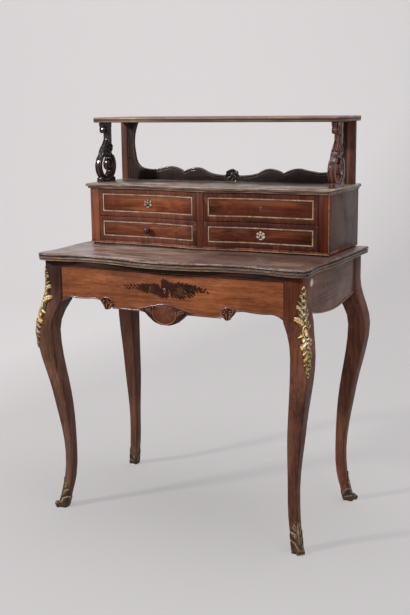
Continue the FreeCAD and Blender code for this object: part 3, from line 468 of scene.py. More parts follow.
def fret_timber():
    """Fretted board: dark, with painted light making it paler towards its left end and redder at its right
    end.
    """
    f = Finish("fret_timber")
    tone = f.cloud(34)
    colour = f.ramp(tone, (0.36, srgb(22, 15, 14)), (0.7, srgb(38, 26, 24)))
    # Painted light: a paler left end and a redder right end where the lamp falls.
    ends = ((0.16, 2.6), (0.24, 1.7), (0.46, 1.0), (0.77, 1.0), (0.82, (3.0, 1.9, 1.5)))
    colour = f.toned(colour, f.across(), *ends)
    tool_marks(f)
    return lacquer(f, colour, f.ramp(tone, (0.3, 0.34), (0.7, 0.6)), 0.02, 0.08)


# Metal
def cast_bronze(name, deep, gold, bright, gloss=0.3, metal=0.6, grey=0.6):
    """Cast and gilt metal: dark in its hollows, bright on its ridges, grey where the gilding is gone."""
    f = Finish(name)
    cloud = f.cloud(70)
    grain = f.ramp(f.cloud(250, 3, 0.6, (4, 1, 2)), (0.38, 0.0), (0.62, 1.0))
    mottle = f.math("MULTIPLY_ADD", cloud, 0.3, f.math("MULTIPLY", grain, 0.22))
    height = f.math("MULTIPLY_ADD", f.relief(), 0.85, mottle)
    gilt = f.ramp(height, (0.36, srgb(*deep)), (0.78, srgb(*gold)), (1.0, srgb(*bright)))
    bare = f.ramp(height, (0.36, srgb(*deep)), (0.78, srgb(112, 106, 96)), (1.0, srgb(226, 222, 212)))
    colour = f.mix(f.ramp(f.cloud(26, 4, 0.6, (1, 2, 5)), (0.42, 0.0), (0.56, grey)), gilt, bare)
    rough = f.ramp(cloud, (0.3, gloss * 0.8), (0.7, gloss * 1.6))
    f.bump(f.cloud(420, 3), 0.0003, 0.25)
    return f.done(Base_Color=colour, Roughness=rough, Metallic=metal)


def tarnished(f, gold, dull):
    """Brass colour, dulled unevenly, over a faintly uneven surface."""
    f.bump(f.cloud(300, 2), 0.0002, 0.2)
    return f.ramp(f.cloud(50), (0.34, srgb(*dull)), (0.62, srgb(*gold)))


def brass_slip():
    """Thin brass fillet and corner strips."""
    f = Finish("brass_slip")
    return f.done(Base_Color=tarnished(f, (144, 120, 92), (88, 66, 48)), Roughness=0.5, Metallic=0.35)


def brass_stringing():
    """Stringing: a brass line with a dark one inside it."""
    f = Finish("brass_stringing")
    brass_width = 0.003
    brass = tarnished(f, (174, 147, 119), (106, 81, 61))
    colour = f.mix(f.above(inside_stringing(f), brass_width), brass, srgb(52, 28, 20))
    return f.done(Base_Color=colour, Roughness=0.5, Metallic=0.2)


def lock_iron():
    """Dark iron with a little rust."""
    f = Finish("lock_iron")
    cloud = f.cloud(80)
    colour = f.ramp(cloud, (0.3, srgb(28, 24, 22)), (0.6, srgb(70, 62, 55)), (0.8, srgb(96, 62, 42)))
    f.bump(cloud, 0.0005, 0.3)
    return f.done(Base_Color=colour, Roughness=0.55, Metallic=0.7)


# Finishes of this desk
DRAWER_FRONT = drawer_veneer()
# The front rail's veneer is dark, and darkened further as painted shade under the overhanging top.
RAIL_IN_PAINTED_SHADE = veneer("rail_veneer", "X", [(28, 13, 8), (50, 26, 17), (74, 43, 30)], gloss=0.5)
STILE = paired_boards("stile_veneer", [(60, 29, 18), (98, 53, 34), (130, 80, 53)],
                      [(34, 10, 4), (64, 23, 10), (96, 41, 19)], 1.3, 0.42, (4, 2, 7))
DIVIDER = veneer("divider_veneer", "Z", [(62, 28, 19), (100, 52, 37), (136, 80, 58)], 2.0, 0.42,
                 worn=(168, 124, 98), wear=0.5)
LEG = leg_timber()
SIDE = veneer("side_veneer", "Z", [(42, 26, 23), (62, 41, 37), (84, 60, 53)], 0.6,
              wear=0.2, coat=0.06, sheen=0.3)
APRON = apron_timber()
BEAD = veneer("bead_timber", "X", [(54, 28, 19), (88, 50, 36), (124, 80, 60)], 1.4, 0.26,
              worn=(150, 110, 88), wear=0.35, coat=0.4, sheen=0.4)
PLINTH = veneer("plinth_moulding", "X", [(24, 13, 10), (46, 28, 21), (78, 54, 42)], 1.4, 0.34,
                worn=(136, 114, 97), wear=0.5, coat=0.2, sheen=0.3)
BEADED = beaded_edge()
RUBBED = veneer("rubbed_edge", "X", [(92, 68, 54), (140, 114, 95), (184, 160, 138)], 2.0, 0.4,
                worn=(200, 180, 158), wear=0.5, coat=0.1, sheen=0.3)
POST = paired_boards("post_timber", [(48, 28, 21), (80, 49, 38), (108, 72, 57)],
                     [(60, 34, 26), (96, 61, 48), (124, 86, 69)], 1.0, 0.45, (3, 5, 2))
SHELF = moulded_shelf()
CASE_TOP = worn_case_top()
OAK = bare_timber("oak_lining", [(104, 76, 50), (140, 106, 72), (172, 136, 96)])
PINE = bare_timber("back_boards", [(84, 58, 40), (116, 84, 58), (146, 110, 78)])
CARVED = carved_timber("carved_timber", (7, 4, 3), (20, 12, 9), (54, 36, 29), 0.22, 0.2, 0.28)
CARVED_RED = carved_timber("carved_red_timber", (18, 7, 5), (56, 25, 18), (98, 58, 46), 0.22, 0.26, 0.4)
CARVED_APRON = carved_timber("carved_apron_timber", (34, 15, 9), (88, 47, 31), (142, 92, 66),
                             0.36, 0.02, 0.16)
FRET = fret_timber()
FRET_EDGE = carved_timber("fret_edge", (66, 50, 46), (104, 82, 75), (140, 116, 108), 0.24, 0.4, 0.4)
INLAY = inlaid_leaves()
PETAL = veneer("petal_inlay", "Z", [(44, 24, 15), (74, 44, 26), (108, 70, 42)], 3.0, 0.45)
BRONZE = cast_bronze("gilt_bronze", (34, 22, 11), (112, 86, 46), (192, 162, 100), 0.36, grey=0.35)
SHOE = cast_bronze("worn_bronze", (50, 35, 25), (84, 62, 42), (158, 130, 90), 0.36, 0.45, 0.22)
PLATE = cast_bronze("keyhole_plate_brass", (52, 42, 32), (142, 124, 96), (220, 206, 178))
# A darker copy of the keyhole plate brass, for the upper left plate.
DARKER_PLATE = cast_bronze("dulled_plate_brass", (34, 26, 19), (88, 72, 54), (148, 130, 104))
BRASS = brass_slip()
STRINGING = brass_stringing()
SMALL_FRONTS = banded_fronts()
TABLE_TOP = banded_top()
IRON = lock_iron()


# Mesh helpers
def middle(node):
    low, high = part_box(node)
    return (low + high) / 2


def link(name, mesh):
    piece = bpy.data.objects.new(name, mesh)
    bpy.context.scene.collection.objects.link(piece)
    return piece


def shade(piece, crease):
    """Smooth shading, broken at edges sharper than this many degrees."""
    for face in piece.data.polygons:
        face.use_smooth = True
    piece.data.set_sharp_from_angle(angle=math.radians(crease))


def dress(piece, material, crease=CREASE):
    piece.data.materials.clear()
    piece.data.materials.append(material)
    shade(piece, crease)


def merged_copy(node):
    """Welded copy of a solid's mesh, with its flat regions joined into single faces."""
    bm = bmesh.new()
    bm.from_mesh(frame["nodes"][node].data)
    bmesh.ops.remove_doubles(bm, verts=bm.verts, dist=2e-6)
    bmesh.ops.dissolve_limit(bm, angle_limit=math.radians(0.4), verts=bm.verts, edges=bm.edges)
    bm.normal_update()
    return bm


def piece_from(bm, name):
    mesh = bpy.data.meshes.new(name)
    bm.to_mesh(mesh)
    bm.free()
    return link(name, mesh)


def applied(piece):
    """Work a piece's modifiers into its mesh."""
    bpy.context.view_layer.update()
    ready = piece.evaluated_get(bpy.context.evaluated_depsgraph_get())
    mesh = bpy.data.meshes.new_from_object(ready)
    piece.modifiers.clear()
    piece.data = mesh


def body_of(node):
    return frame["nodes"][node]["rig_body"]


def slot_of(node):
    return next(part["material_slot"] for part in frame["record"]["subparts"] if part["node"] == node)


def carried(piece, node):
    """Ride with a solid's body, without standing in for it."""
    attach(piece, body_of(node))
    slot_of(node)


def stand_in(piece, node):
    """Take a solid's place and body."""
    carried(piece, node)
    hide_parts(node)


# Joinery: solids with eased edges
def eased(node, material, ease=0.0006, rim=None):
    """A solid with its sharp edges eased as by hand, and finished apart where a rim finish is given."""
    piece = piece_from(merged_copy(node), node + "_eased")
    for finish in (material, rim or material):
        piece.data.materials.append(finish)
    if ease:
        bevel = piece.modifiers.new("ease", "BEVEL")
        bevel.width = ease
        bevel.segments = 2
        bevel.limit_method = "ANGLE"
        bevel.angle_limit = math.radians(40)
        bevel.material = 1 if rim else -1
        applied(piece)
    shade(piece, CREASE)
    stand_in(piece, node)


def brass_lined(piece):
    """Lay brass on the slanted strips of the stiles' front corners."""
    piece.data.materials[1] = BRASS
    for face in piece.data.polygons:
        face.material_index = 1 if face.normal.y < -0.4 and abs(face.normal.x) > 0.4 else 0


JOINERY = {
    "table_top": TABLE_TOP, "top_frame": BEADED, "writing_slide": BEADED, "front_rail": RAIL_IN_PAINTED_SHADE,
    "main_drawer_front": DRAWER_FRONT, "side_apron_left": APRON, "side_apron_right": APRON,
    "gradin_stiles": STILE, "gradin_divider": DIVIDER, "gradin_side_left": SIDE, "gradin_side_right": SIDE,
    "gradin_top": CASE_TOP, "shelf": SHELF, "gradin_bottom": DIVIDER, "gradin_plinth": PLINTH,
    "back_post_left": POST, "back_post_right": POST, "fret_board": FRET, "gradin_back": PINE,
    "back_apron": PINE, "drawer_runners": OAK, "slide_bearers": OAK, "gradin_dustboards": OAK,
    "main_drawer_sides": OAK, "main_drawer_back": OAK, "main_drawer_bottom": OAK}
JOINERY.update({"leg_" + corner: LEG for corner in CORNERS})
JOINERY.update({drawer + "_front": SMALL_FRONTS for drawer in SMALL_DRAWERS})
JOINERY.update({drawer + "_box": OAK for drawer in SMALL_DRAWERS})
JOINERY.update({node: IRON for node in frame["nodes"] if node.endswith("_lock")})
RUBBED_AND_HIGHLIT_EDGES = {node: (0.0006, RUBBED) for node in ("gradin_top", "top_frame", "writing_slide")}
# The front rail's eased edges take the paler bead veneer as a painted highlight along them.
RUBBED_AND_HIGHLIT_EDGES["front_rail"] = (0.0011, BEAD)
for node, material in JOINERY.items():
    eased(node, material, *RUBBED_AND_HIGHLIT_EDGES.get(node, ()))
for drawer in SMALL_DRAWERS:
    eased(drawer + "_stringing", STRINGING, 0.0)
brass_lined(bpy.data.objects["gradin_stiles_eased"])


# Carving: a solid turned to clay, softened, and cut into by a relief law
def sculpt(node, material, law, clay, soften, depth, out=None):
    """Stand-in cut back by depth where law(point, normal) is 0 and left whole where it is 1.

    It is cut along its normals, or against the direction out, where its ground sinks out of sight."""
    ground, sunk = 0.04, 2.2
    piece = piece_from(merged_copy(node), node + "_carved")
    remesh = piece.modifiers.new("clay", "REMESH")
    remesh.mode = "VOXEL"
    remesh.voxel_size = clay
    applied(piece)
    bm = bmesh.new()
    bm.from_mesh(piece.data)
    for _ in range(soften):
        bmesh.ops.smooth_vert(bm, verts=bm.verts, factor=0.5, use_axis_x=True, use_axis_y=True,
                              use_axis_z=True)
    bm.normal_update()
    height = bm.verts.layers.float.new("relief")
    low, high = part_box(node)
    for vert in bm.verts:
        if vert.co.z < low.z + clay:
            vert.co.z = low.z
    moves = []
    for vert in bm.verts:
        relief = min(max(law(vert.co, vert.normal), 0.0), 1.0)
        vert[height] = relief
        if out is None:
            spot = vert.co - vert.normal * depth * (1 - relief)
        else:
            spot = vert.co - out * depth * (sunk if relief < ground else 1 - relief)
        moves.append([min(max(spot[i], low[i]), high[i]) for i in range(3)])
    for vert, spot in zip(bm.verts, moves):
        vert.co = spot
    bm.to_mesh(piece.data)
    bm.free()
    dress(piece, material, SOFT_CREASE)
    stand_in(piece, node)


def bump_at(distance, width):
    return math.exp(-(distance / width) ** 2)


def scroll(u, v, turns, reach):
    """Spiral ridge round a centre: 1 on the ridge, 0 in the groove."""
    radius = math.hypot(u, v)
    return 0.5 + 0.5 * math.cos(math.atan2(v, u) - radius / reach * 2 * math.pi * turns)


def acanthus(a, b):
    """Height of one lobed leaf: a runs from stalk to tip, b across in half widths."""
    if not 0 < a < 1:
        return 0.0
    edge = math.sin(math.pi * a ** 0.65) * (0.84 + 0.16 * math.cos(8 * math.pi * a))
    if abs(b) >= edge:
        return 0.0
    share = abs(b) / edge
    veins = 0.16 * math.cos(2 * math.pi * (5 * a - 1.3 * share))
    return (0.5 + 0.4 * a) * math.sqrt(1 - share * share) + 0.22 * bump_at(share, 0.16) + veins * share


def leaf_reader(leaves):
    """Highest of a spray of leaves, each a root across, root height, heading, length and half width."""
    ready = [(s, h, math.cos(turn), math.sin(turn), length, half) for s, h, turn, length, half in leaves]

    def height(s, h):
        best = 0.0
        for s0, h0, along, rise, length, half in ready:
            u, v = s - s0, h - h0
            if abs(u) + abs(v) < 1.5 * length:
                best = max(best, acanthus((u * along + v * rise) / length, (v * along - u * rise) / half))
        return best
    return height


def corner_signs(node):
    """1 or -1 for a corner piece right or left of the desk's middle, and behind or ahead of it."""
    centre = middle(node)
    return math.copysign(1, centre.x), math.copysign(1, centre.y)


def outward(node):
    right, rear = corner_signs(node)
    return Vector((right * ROOT_HALF, rear * ROOT_HALF, 0))


def corner_reader(node):
    """Reads a point's place at an outer corner: across the arris, out from it, and up from the foot."""
    low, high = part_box(node)
    right, rear = corner_signs(node)
    x0 = high.x if right > 0 else low.x
    y0 = high.y if rear > 0 else low.y

    def local(p):
        a, b = right * (p.x - x0), rear * (p.y - y0)
        return (a - b) * ROOT_HALF, (a + b) * ROOT_HALF, p.z - low.z
    return local


def corner_mount_law(node):
    """Chain of florets down the arris, leaf sprays to both sides, an oval boss in a rolled cartouche."""
    local = corner_reader(node)
    low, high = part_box(node)
    tall = high.z - low.z
    leaf_pairs, pair_step, leaf_lean = 36, 0.0277, 0.85
    boss_tall, boss_wide = 0.017, 0.0078
    upper_bud, upper_pitch, lower_bud, lower_pitch = 0.0068, 0.0165, 0.0042, 0.0105

    def reach_at(share):
        return 0.011 + 0.021 * math.sin(math.pi * share) ** 1.3

    leaves = []
    for i in range(leaf_pairs):
        share = 0.99 - pair_step * i
        reach = reach_at(share)
        half_width = reach * (0.19 + 0.06 * math.sin(3.7 * i))
        lean = leaf_lean if share > 0.5 else -leaf_lean
        sway = 0.4 * math.sin(5.1 * i)
        for side, turn in ((1, lean + sway), (-1, math.pi - lean + sway)):
            length = reach * (0.86 + 0.28 * math.sin(7.3 * i + 2 * side))
            leaves.append((side * 0.001, share * tall, turn, length, half_width))
    spray = leaf_reader(leaves)

    def law(p, normal):
        s, _, h = local(p)
        ring = math.hypot((h - 0.5 * tall) / boss_tall, s / boss_wide)
        if ring < 0.6:
            return 0.45 + 0.55 * math.sqrt(1 - (ring / 0.66) ** 2)
        if ring < 1.15:
            return max(0.05, bump_at(ring - 0.94, 0.15))
        bud, pitch = (upper_bud, upper_pitch) if h > 0.66 * tall else (lower_bud, lower_pitch)
        floret = ((h / pitch) % 1 - 0.5) * pitch
        lobes = 1 + 0.3 * math.cos(5 * math.atan2(floret, s))
        chain = 0.98 * max(0.0, 1 - (math.hypot(floret, s) / (bud * lobes)) ** 2)
        plate = 0.22 if abs(s) < 0.42 * reach_at(min(max(h / tall, 0.0), 1.0)) else 0.0
        return max(spray(s, h), chain, plate)
    return law


def shoe_law(node):
    """Acanthus up the arris over side leaves, a fluted sole and a scrolled toe."""
    local = corner_reader(node)
    toe_in, toe_up, toe_radius, toe_half, toe_coil = 0.0085, 0.008, 0.0105, 0.008, 0.0085
    leaves = [(0.0, 0.020, math.pi / 2, 0.070, 0.006)]
    for i in range(10):
        half_width = 0.0042 + 0.0012 * math.sin(5.7 * i)
        for side in (-1, 1):
            turn = math.pi / 2 - side * (0.8 + 0.4 * math.sin(4.3 * i + side))
            length = 0.021 + 0.006 * math.sin(2.9 * i + 2 * side)
            leaves.append((side * 0.0032, 0.011 + 0.0074 * i, turn, length, half_width))
    spray = leaf_reader(leaves)

    def law(p, normal):
        if normal.z < -0.6:
            return 1.0
        s, d, h = local(p)
        toe_u, toe_v = d + toe_in, h - toe_up
        if math.hypot(toe_u, toe_v) < toe_radius:
            if abs(s) > toe_half:
                return 0.65 * scroll(toe_u, toe_v, 1.3, toe_coil)
            return 0.3 + 0.3 * math.cos(s * 1900)
        flutes = (0.3 + 0.25 * math.cos(s * 1300)) * bump_at(toe_v, 0.009)
        return max(spray(s, h), flutes)
    return law


def console_law(node):
    """Scrolls in the side faces, a rolled limb in front with a quirk at each edge, leaves at the waist."""
    low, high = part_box(node)
    mid_x = middle(node).x
    half = (high.x - low.x) / 2
    loop_y, loop_z, loop_radius, neck_in = low.y + 0.0344, low.z + 0.046, 0.0365, 0.014
    spirals = ((loop_y + 0.0155, loop_z + 0.0043, 0.0175, 1.3),
               (loop_y + 0.016, loop_z + 0.0498, 0.0140, 1.1),
               (loop_y - 0.003, loop_z + 0.103, 0.0125, 1.0))
    waist = []
    for i in range(4):
        waist.append((loop_y - 0.012 + 0.007 * i, loop_z + 0.026 + 0.008 * i, 1.25 + 0.1 * i, 0.034, 0.006))
    waist_leaves = leaf_reader(waist)
    front_leaves = leaf_reader(((0.0, loop_z + 0.016, math.pi / 2, 0.036, 0.008),
                                (0.006, loop_z + 0.012, 1.2, 0.026, 0.005),
                                (-0.006, loop_z + 0.012, 1.94, 0.026, 0.005)))

    def law(p, normal):
        across, up = p.x - mid_x, p.z - loop_z
        if abs(normal.x) < 0.5:
            if 0.014 < up < 0.052:
                return max(0.5, front_leaves(across, p.z))
            return 1 - 0.8 * bump_at(abs(across) / half - 0.58, 0.12)
        for y, z, reach, turns in spirals:
            u, v = p.y - y, p.z - z
            if math.hypot(u, v) < reach:
                return 0.1 + 0.9 * scroll(u, v, turns, reach)
        if up < 0.03:
            return 1 - 0.9 * bump_at(math.hypot(p.y - loop_y, up) - loop_radius, 0.003)
        if up < 0.066:
            return max(0.2, waist_leaves(p.y, p.z))
        return 1 - 0.9 * bump_at(p.y - loop_y - neck_in, 0.0028)
    return law


def shell_law(node):
    """Medallion in a rolled rim, with a wing of leaves and a curl to each side, under a scalloped crest."""
    low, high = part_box(node)
    wide, tall = high.x - low.x, high.z - low.z
    heart_z = low.z + tall * 0.62
    curl = 0.0105
    leaves = []
    for i in range(6):
        root_x, root_z = wide * (0.19 + 0.045 * i), heart_z - 0.012 + 0.0045 * i
        leaves.append((root_x, root_z, 1.35 - 0.2 * i, 0.022, 0.0055))
    wing = leaf_reader(leaves)

    def crest_z(x):
        scallop = 0.0032 * abs(math.cos(x * 240))
        return low.z + tall * (1 - 0.16 * (x / (0.275 * wide)) ** 1.6) - scallop

    def carved(x, z):
        up = z - heart_z
        oval = math.hypot(x / (wide * 0.205), up / (tall * 0.52))
        curl_x, curl_z = x - wide * 0.43, z - low.z - tall * 0.68
        if math.hypot(curl_x, curl_z) < curl:
            return scroll(curl_x, curl_z, 1.2, curl)
        if oval < 0.98:
            ribs = 0.1 * math.cos(9 * math.atan2(up, x)) * oval ** 3
            return 0.42 + 0.22 * math.sqrt(1 - oval * oval) + ribs
        rim = bump_at(oval - 1.08, 0.07) * (0.65 - up / tall)
        return max(rim, wing(x, z), 0.15)

    def law(p, normal):
        if normal.y > 0.2:
            return 0.6
        x = abs(p.x)
        return min(carved(x, p.z), 0.4 + 0.6 * max(0.0, (crest_z(x) - p.z) / 0.005))
    return law


def leaves_law(node):
    """Small fan of lobes over a pointed drop, with two curls at its crown."""
    low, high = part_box(node)
    half_leaf, curl, curl_aside, curl_up = 0.02, 0.0075, 0.009, 0.023
    centre = high.x - half_leaf

    def law(p, normal):
        if normal.y > 0.2:
            return 0.6
        x, up = abs(p.x) - centre, p.z - low.z
        curl_x, curl_z = abs(x) - curl_aside, up - curl_up
        if math.hypot(curl_x, curl_z) < curl:
            return scroll(curl_x, curl_z, 1.2, curl)
        return 0.5 + 0.5 * math.cos(math.atan2(up + 0.004, x) * 11)
    return law


def petals_law(node, count, heart, twist=0.0):
    """Petals round a raised heart."""
    low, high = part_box(node)
    centre = middle(node)
    rim = (high.x - low.x) / 2

    def law(p, normal):
        if normal.y > 0.3:
            return 0.6
        u, v = p.x - centre.x, p.z - centre.z
        radius = math.hypot(u, v)
        if radius < heart:
            return 0.55 + 0.45 * math.sqrt(1 - (radius / heart) ** 2)
        petal = abs(math.cos(count / 2 * (math.atan2(v, u) - math.pi / 2) + radius / rim * twist))
        return 0.15 + 0.85 * petal ** 0.6 * min(1.0, 0.45 + 0.55 * (radius - heart) / (rim - heart))
    return law


def knob_law(node):
    """Worn paler towards its face."""
    low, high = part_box(node)

    def law(p, normal):
        return 0.4 + 0.6 * (high.y - p.y) / (high.y - low.y)
    return law


for node in ("corner_mount_left", "corner_mount_right"):
    sculpt(node, BRONZE, corner_mount_law(node), clay=0.0009, soften=2, depth=0.0034, out=outward(node))
for node in ["sabot_" + corner for corner in CORNERS]:
    sculpt(node, SHOE, shoe_law(node), clay=0.0008, soften=2, depth=0.0018)
for node, finish in (("console_left", CARVED), ("console_right", CARVED_RED)):
    sculpt(node, finish, console_law(node), clay=0.0010, soften=6, depth=0.0034)
sculpt("apron_shell", CARVED_APRON, shell_law("apron_shell"), clay=0.0010, soften=4, depth=0.0042, out=FRONT)
sculpt("apron_leaves", CARVED_APRON, leaves_law("apron_leaves"), clay=0.0008, soften=3, depth=0.0036)
flower = petals_law("fret_carving", 7, heart=0.006, twist=1.6)
sculpt("fret_carving", CARVED, flower, clay=0.0007, soften=4, depth=0.0045)
for node, finish in (("upper_left_escutcheon", DARKER_PLATE), ("lower_right_escutcheon", PLATE)):
    sculpt(node, finish, petals_law(node, 6, heart=0.004), clay=0.00035, soften=2, depth=0.0012)
sculpt("lower_left_knob", CARVED, knob_law("lower_left_knob"), clay=0.0006, soften=4, depth=0.0003)


# Mouldings and inlay made by node trees
class Tree(Nodes):
    """Small builder for one geometry node tree."""

    def __init__(self, name):
        super().__init__(bpy.data.node_groups.new(name, "GeometryNodeTree"))
        self.tree.interface.new_socket("Geometry", in_out="INPUT", socket_type="NodeSocketGeometry")
        self.tree.interface.new_socket("Geometry", in_out="OUTPUT", socket_type="NodeSocketGeometry")
        self.inside = self.node("NodeGroupInput")
        self.outside = self.node("NodeGroupOutput")

    def size(self, name, kind):
        self.tree.interface.new_socket(name, in_out="INPUT", socket_type="NodeSocket" + kind)
        return self.inside.outputs[name]

    def host_curve(self):
        return self.result("GeometryNodeMeshToCurve", {"Mesh": self.inside.outputs["Geometry"]})

    def close(self, geometry, material):
        whole = self.result("GeometryNodeRealizeInstances", {0: geometry})
        painted = self.result("GeometryNodeSetMaterial", {"Geometry": whole, "Material": material})
        self.feed(self.outside.inputs[0], painted)

    def work(self, piece, **sizes):
        """Run the tree on a piece and keep the result as a plain mesh."""
        run = piece.modifiers.new("run", "NODES")
        run.node_group = self.tree
        for item in self.tree.interface.items_tree:
            if item.in_out == "INPUT" and item.name in sizes:
                run[item.identifier] = sizes[item.name]
        applied(piece)


def moulding_tree():
    """Round strip swept along the edges of the host mesh."""
    t = Tree("moulding_along_edges")
    radius, sides = t.size("Radius", "Float"), t.size("Sides", "Int")
    material = t.size("Material", "Material")
    profile = t.result("GeometryNodeCurvePrimitiveCircle", {"Resolution": sides, "Radius": radius})
    sweep = {"Curve": t.host_curve(), "Profile Curve": profile, "Fill Caps": True}
    t.close(t.result("GeometryNodeCurveToMesh", sweep), material)
    return t


def spray_tree():
    """Leaves set along stems in the plane of a front, to alternate sides and smaller towards the tip."""
    t = Tree("leaf_spray_along_stem")
    leaf, count = t.size("Leaf", "Object"), t.size("Count", "Int")
    size, spread = t.size("Size", "Float"), t.size("Spread", "Float")
    seed, material = t.size("Seed", "Int"), t.size("Material", "Material")
    stems = {"Curve": t.host_curve(), "Count": count}
    points = t.node("GeometryNodeCurveToPoints", stems, mode="COUNT").outputs
    heading = t.node("ShaderNodeSeparateXYZ", {0: points["Tangent"]}).outputs
    lie = t.math("ARCTAN2", heading["Z"], heading["X"])
    index = t.result("GeometryNodeInputIndex")
    side = t.math("MULTIPLY_ADD", t.math("MODULO", index, 2.0), 2.0, -1.0)
    turn = t.math("SUBTRACT", t.math("MULTIPLY", side, spread), lie)
    pose = t.result("ShaderNodeCombineXYZ", {"Y": turn})
    along = t.math("FRACT", t.math("DIVIDE", index, count))
    taper = t.math("MULTIPLY_ADD", along, -0.55, 1.0)
    between = {"Seed": seed, 2: 0.75, 3: 1.2}
    chance = t.node("FunctionNodeRandomValue", between, data_type="FLOAT").outputs[1]
    grow = t.math("MULTIPLY", t.math("MULTIPLY", taper, size), chance)
    shape = t.node("GeometryNodeObjectInfo", {"Object": leaf}).outputs["Geometry"]
    leaves = {"Points": points["Points"], "Instance": shape, "Rotation": pose, "Scale": grow}
    t.close(t.result("GeometryNodeInstanceOnPoints", leaves), material)
    return t


MOULDING = moulding_tree()
SPRAY = spray_tree()


def edge_path(node, shift_at):
    """Mesh of those edges that shift_at(edge) gives a shift, each point moved by the mean of its shifts."""
    solid = merged_copy(node)
    path = bmesh.new()
    made = {}
    shifts = {}
    for edge in solid.edges:
        shift = shift_at(edge)
        if shift:
            for vert in edge.verts:
                shifts.setdefault(vert.index, []).append(shift)
                if vert.index not in made:
                    made[vert.index] = path.verts.new(vert.co)
            path.edges.new([made[vert.index] for vert in edge.verts])
    for index, vert in made.items():
        vert.co += sum(shifts[index], Vector()) / len(shifts[index])
    solid.free()
    return path


def round_strip(name, node, path, radius, sides, material):
    piece = piece_from(path, name)
    MOULDING.work(piece, Radius=radius, Sides=sides, Material=material)
    dress(piece, material, BEAD_CREASE)
    carried(piece, node)


def moulding(name, node, on_face, at_edge, radius, material, inset, proud):
    """Round bead along part of a solid's border, drawn in from the border and proud of the face."""
    def shift_at(edge):
        for face, rim in (edge.link_faces, reversed(edge.link_faces)):
            if on_face(face.normal) and at_edge(rim.normal):
                return face.normal * proud - rim.normal * inset
        return None
    round_strip(name, node, edge_path(node, shift_at), radius, 10, material)


def keyhole_ring(node, lock, material):
    """Worn ring round a bare keyhole, found near the middle of its lock."""
    centre = middle(lock)
    search, proud, radius = 0.012, 0.0002, 0.0011

    def shift_at(edge):
        near = all(math.hypot(v.co.x - centre.x, v.co.z - centre.z) < search for v in edge.verts)
        on_face = sum(facing_front(face.normal) for face in edge.link_faces) == 1
        return FRONT * proud if near and on_face else None
    round_strip(node + "_keyhole_ring", node, edge_path(node, shift_at), radius, 8, material)


def facing(axis, way):
    """Test for face normals that lie along an axis, forwards or backwards."""
    return lambda n: n[axis] * way > 0.7


facing_front = facing(1, -1)
facing_right = facing(0, 1)
facing_left = facing(0, -1)


def underneath(n):
    return n.z < -0.15


def at_crest(n):
    return n.z > 0.15 or (abs(n.x) > 0.5 and abs(n.y) < 0.3)


moulding("drawer_lower_bead", "main_drawer_front", facing_front, underneath, 0.0024, BEAD, 0.0020, 0.0004)
moulding("right_apron_bead", "side_apron_right", facing_right, underneath, 0.0022, BEAD, 0.0018, 0.0004)
moulding("left_apron_bead", "side_apron_left", facing_left, underneath, 0.0022, BEAD, 0.0018, 0.0004)
moulding("case_foot_fillet", "gradin_bottom", facing_front, underneath, 0.0011, BRASS, 0.0016, 0.0003)
moulding("fret_crest_bead", "fret_board", facing_front, at_crest, 0.0022, FRET_EDGE, 0.0024, 0.0004)
moulding("fret_inner_line", "fret_board", facing_front, at_crest, 0.0009, FRET_EDGE, 0.0085, 0.0002)


# Leaf inlay of the main drawer: leaves to a stem, leaf length, and stems as three points in millimetres
INLAY_SPRAYS = (
    (22, 0.022, (((-8, 1), (-60, 5), (-117, 0)), ((8, 2), (60, 10), (119, 4)))),
    (15, 0.021, (((10, 0), (50, 2), (112, 4)), ((14, 2), (50, 18), (100, 8)))),
    (16, 0.017, (((-10, 3), (-36, 8), (-76, 5)), ((-10, -3), (-36, -8), (-80, -4)))),
    (16, 0.020, (((12, 4), (40, 16), (86, 8)), ((12, -5), (40, -17), (82, -6)))),
    (7, 0.016, (((-1, 8), (-2, 14), (-1, 22)), ((1, -8), (3, -13), (1, -18)),
                ((4, 6), (12, 11), (10, 18)), ((-4, -6), (-12, -12), (-10, -18)))))


def drawer_face_reader():
    """Reads how far forward the main drawer's bowed face stands at a place across it."""
    low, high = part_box("main_drawer_front")
    sagitta = 0.010
    radius = (high.x ** 2 + sagitta ** 2) / (2 * sagitta)

    def face_y(x):
        return low.y + radius - math.sqrt(radius * radius - x * x)
    return face_y


def stem_edges(bm, start, pull, stop, parts=14):
    """Curved stem in the plane of the front, as a chain of edges."""
    last = None
    for i in range(parts + 1):
        t = i / parts
        spot = start * (1 - t) ** 2 + pull * (2 * t * (1 - t)) + stop * t * t
        vert = bm.verts.new((spot.x, 0, spot.y))
        if last:
            bm.edges.new((last, vert))
        last = vert


def ring_wall(bm, one, other):
    """Faces between two closed rings of points."""
    for i in range(len(one)):
        j = (i + 1) % len(one)
        bm.faces.new((one[i], one[j], other[j], other[i]))


def leaf_shape(thickness, parts=6):
    """Pointed leaf one unit long, lying in the plane of a front."""
    bm = bmesh.new()
    rims = []
    for y in (-thickness, thickness):
        upper = [(i / parts, 0.25 * math.sin(math.pi * (i / parts) ** 0.8)) for i in range(parts + 1)]
        outline = upper + [(x, -z * 0.8) for x, z in upper[-2:0:-1]]
        rims.append([bm.verts.new((x, y, z)) for x, z in outline])
    bm.faces.new(rims[0])
    bm.faces.new(rims[1])
    ring_wall(bm, *rims)
    bmesh.ops.recalc_face_normals(bm, faces=bm.faces)
    return piece_from(bm, "inlay_leaf")


